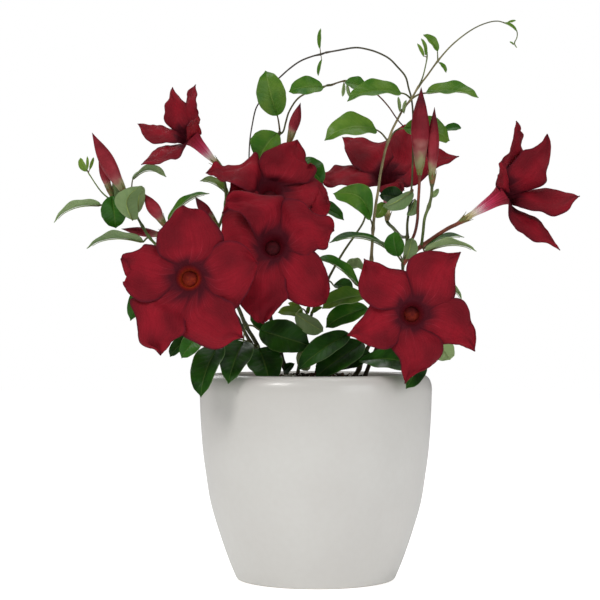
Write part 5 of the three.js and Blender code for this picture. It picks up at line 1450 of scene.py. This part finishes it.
def buildFlower(name):
    mouthRow, facing, length, width, lobes = flowers[name]
    manners = {**flower["usual"], **flower["manners"].get(name, {})}
    mouth = place(mouthRow)
    way = Vector(facing).normalized()
    foot = mouth - way * length * mm
    first = way.orthogonal().normalized()
    second = way.cross(first)
    turned = []
    for tipRow, lift, near, far in lobes:
        reach = place(tipRow) - mouth
        outward = (reach - way * reach.dot(way)).normalized()
        turned.append((math.atan2(outward.dot(second), outward.dot(first)), outward, tipRow, lift, near, far))
    turned.sort(key=lambda lobe: lobe[0])
    mesh = newMesh()
    for k, lobe in enumerate(turned):
        angle = lobe[0]
        after = turned[k + 1][0] if k + 1 < len(turned) else turned[0][0] + math.tau
        before = turned[k - 1][0] if k else turned[-1][0] - math.tau

        def radial(side, angle=angle, before=before, after=after):
            turn = angle + side / 2 * (after - angle if side > 0 else angle - before)
            return first * math.cos(turn) + second * math.sin(turn)
        addLobe(mesh, name + str(k), (mouthRow, mouth, way, foot, length), radial, width, lobe[1:], manners)
    bmesh.ops.remove_doubles(mesh, verts=mesh.verts[:], dist=flower["merge"] * mm)
    thicken(mesh, mesh.faces[:], flower["thickness"] * mm, 0)
    markTone(mesh, mesh.verts, manners["wall"])
    # The anthers stand joined in a cone deep in the throat.
    cone = [(radius * mixed(1, manners["wide"], along) * mm, along * length * mm)
            for along, radius in flower["cone"]]
    markTone(mesh, addTurned(mesh, cone, flower["coneSteps"], 2, pointing(foot, way))[0], manners["cone"])
    layer = mesh.verts.layers.float["tone"]
    for vert in mesh.verts:
        reach = vert.co - mouth
        aside = (reach - way * reach.dot(way)).length / mm
        # Painted shade: the gold fades on the throat's upper side and is kept in full only below.
        unshadedGold = mixed(1, manners["above"], smooth(*flower["fadeHeights"], reach.z / mm))
        vert[layer] *= smooth(*flower["fadeRadii"], aside) * unshadedGold
    finishPiece(mesh, name + "_corolla", ["petalFront", "petalBack", "anther"], [name], sharp=70)


# One fifth of the funnel and the lobe that spreads from it.
def addLobe(mesh, seed, funnel, radial, width, lobe, manners):
    mouthRow, mouth, way, foot, length = funnel
    wavy, wide = manners["wavy"], manners["wide"]
    outward, tipRow, lift, near, far = lobe
    dice = random.Random(seed)
    phases = [dice.uniform(0, math.tau) for _ in range(4)]
    shift = Vector([dice.uniform(0, 50) for _ in range(3)])
    strength = dice.uniform(0.7, 1.3)
    nearAt, farAt = traceMargin(mouthRow, near, tipRow), traceMargin(mouthRow, far, tipRow)
    deeper = way.cross(outward).y * width / 2
    share = flower["funnelShare"]
    funnelPart = flower["funnelRows"] / flower["rows"]

    def shape(u, v):
        side = (u - 0.5) * 2
        if v <= share:
            depth = v / share
            radius = funnelRadius(depth) * mixed(1, wide, depth)
            return foot + (way * (length - flower["throat"]) * depth + radial(side) * radius) * mm
        s = (v - share) / (1 - share)
        farRow, nearRow = farAt(s), nearAt(s)
        if s < 1:
            over = (farRow - nearRow).normalized()
            tuck = flower["tuck"] * lift * smooth(0, 0.1, s) * smooth(0.6, 0.25, s)
            farRow += over * tuck
            nearRow -= over * (tuck * flower["nearTuck"])
        else:
            over = Vector((flower["tipHalf"], 0, 0))
            farRow += over
            nearRow -= over
        for edgeRow, beyond, offset in ((farRow, over, 0), (nearRow, -over, 9)):
            crimp = noise.noise(Vector((s * flower["crimpScale"], offset, phases[0])))
            crimp += 0.5 * noise.noise(Vector((flower["crimpScale"] * 2.5 * s, offset, phases[1])))
            edgeRow += beyond * flower["crimp"] * wavy * crimp * smooth(0.3, 0.5, s) * smooth(1, 0.92, s)
        row = farRow.lerp(nearRow, u)
        swell = math.sin(math.pi * s ** 0.8) ** 0.7 if 0 < s < 1 else 0
        row.z = mixed(mouthRow[2], tipRow[2], s) + side * deeper * swell
        spreading = radial(side) * (funnelRadius(1) * wide + flower["spread"] * s)
        tied = mouth + (spreading - way * (flower["throat"] - flower["drop"] * s)) * mm
        return tied.lerp(place(row), smooth(0, manners["joined"], s))

    # How far a point stands out from the plain lobe: crown, lifted edge, crease, ruffles, roll and dents.
    def raised(u, v):
        side = (u - 0.5) * 2
        s = (v - share) / (1 - share)
        if s <= 0:
            return 0
        settled = smooth(1.0, 0.8, s)
        ruffle = flower["ruffle"] * wavy
        tall = flower["crown"] * width * (1 - side * side) * math.sin(math.pi * s) * smooth(0, 0.4, s)
        tall += lift * side * smooth(0.05, 0.4, s) * settled
        tall -= flower["crease"] * abs(side) ** 3 * smooth(0.02, 0.14, s) * smooth(0.45, 0.2, s)
        wave = math.sin(flower["waves"] * s + phases[0] + side) + 0.6 * math.sin(21 * s + phases[1])
        tall += ruffle * strength * abs(side) ** 3 * wave * smooth(0.2, 0.6, s) * settled
        tall += ruffle * math.sin(4 * side + phases[2]) * smooth(0.6, 0.85, s) * settled
        tall -= flower["roll"] * abs(side) ** 6 * smooth(0.25, 0.6, s) * strength * settled
        spot = Vector((side * flower["dents"][0], s * flower["dents"][1], 0)) + shift
        dents = noise.noise(spot) + 0.35 * noise.noise(spot * 2.7)
        sway = flower["sway"] * mixed(0.5, 1, wavy) * dents * smooth(0.1, 0.35, s) * mixed(0.3, 1, settled)
        return tall + sway

    # Rows stand closer together towards the lobe's tip.
    def spacing(v):
        if v <= funnelPart:
            return share * v / funnelPart
        s = min(1, (v - funnelPart) / (1 - funnelPart))
        return share + (1 - share) * (1 - (1 - s) ** 1.2)

    # The whole corolla gets its thickness later, so that its lobes stay joined.
    addSheet(mesh, shape, flower["columns"], flower["rows"], 0, 1, 1, spacing, raised)


# Base, tip and greatest width.
buds = {
    "bud_left_tall": ((-115, 231, -8), (-134.5, 267, -14), 9.6),
    "bud_left_short": ((-123, 231, -3), (-130.5, 252, -6), 5.4),
    "bud_left_inner": ((-91.5, 212.5, -8), (-103.5, 230.5, -10), 7.8),
    "bud_left_level": ((-90.5, 205, -3), (-117, 209, -3), 5.6),
    "bud_left_upper": ((-60.5, 212.5, 6), (-72.5, 228.5, 2), 6.6),
    "bud_center": ((-15.5, 262.5, 18), (-9, 285, 14), 6.8),
    "bud_right_tall": ((62.5, 243.5, -11), (63.5, 294.5, -16), 11.2),
    "bud_right_short": ((70, 238, -11), (71.5, 282.5, -13), 7.4),
}

# How a bud is shaped. Its outline is pairs of a share of its length and a share of its width, and its tones
# run from ripe to fresh.
bud = {
    "steps": 24, "rings": 36, "foot": 1.5, "furrows": 5, "depth": 0.144, "twist": 1.3, "crook": 0.05,
    "outline": [(0, 0.18), (0.06, 0.24), (0.18, 0.32), (0.33, 0.45), (0.47, 0.5), (0.6, 0.47), (0.76, 0.32),
                (0.9, 0.13), (1, 0.0)],
    "tones": {"bud_left_tall": 0.6, "bud_left_short": 0.4, "bud_left_inner": 1.0, "bud_left_level": 0.1,
              "bud_left_upper": 0.0, "bud_center": 0.25, "bud_right_tall": 0.2, "bud_right_short": 0.35},
}


def buildBud(name):
    baseRow, tipRow, width = buds[name]
    base = place(baseRow)
    reach = place(tipRow) - base
    length = reach.length / mm
    dice = random.Random(name)
    phase = dice.uniform(0, math.tau)
    points = [Vector((swell * width, 0, along * length)) for along, swell in bud["outline"]]
    points[0].x = bud["foot"]
    outline = smoothLine(points, length / bud["rings"])
    profile = [(0, 0)] + [(max(0, point.x) * mm, point.z * mm) for point in outline]
    profile[-1] = (0, length * mm)
    mesh = newMesh()
    verts = addTurned(mesh, profile, bud["steps"], 0)[0]
    layer = mesh.verts.layers.float["along"]
    for vert in verts:
        along = vert.co.z / (length * mm)
        around = math.atan2(vert.co.y, vert.co.x)
        turned = bud["furrows"] * around + phase + bud["twist"] * math.tau * along
        furrow = 1 - abs(math.sin(turned / 2)) ** 0.6
        keep = 1 - bud["depth"] * furrow * smooth(0.12, 0.4, along) * smooth(1.0, 0.9, along)
        vert.co.x *= keep
        vert.co.y *= keep
        bend = bud["crook"] * width * math.sin(math.pi * along) * mm
        vert.co.x += bend * math.cos(phase)
        vert.co.y += bend * math.sin(phase)
        vert[layer] = along
    markTone(mesh, verts, bud["tones"][name])
    bmesh.ops.transform(mesh, matrix=pointing(base, reach.normalized()), verts=verts)
    finishPiece(mesh, name + "_spindle", ["budSkin"], [name])


buildPot()
buildSoil()
for name in vines:
    buildVine(name)
print("stems:", len(vines), "vines with their shoots")
for row in leaves:
    buildLeaf(row, False)
for row in joinedLeaves:
    buildLeaf(row, True)
print("leaves:", len(leaves) + len(joinedLeaves))
for name in flowers:
    buildFlower(name)
print("flowers:", len(flowers))
for name in buds:
    buildBud(name)
print("buds:", len(buds))
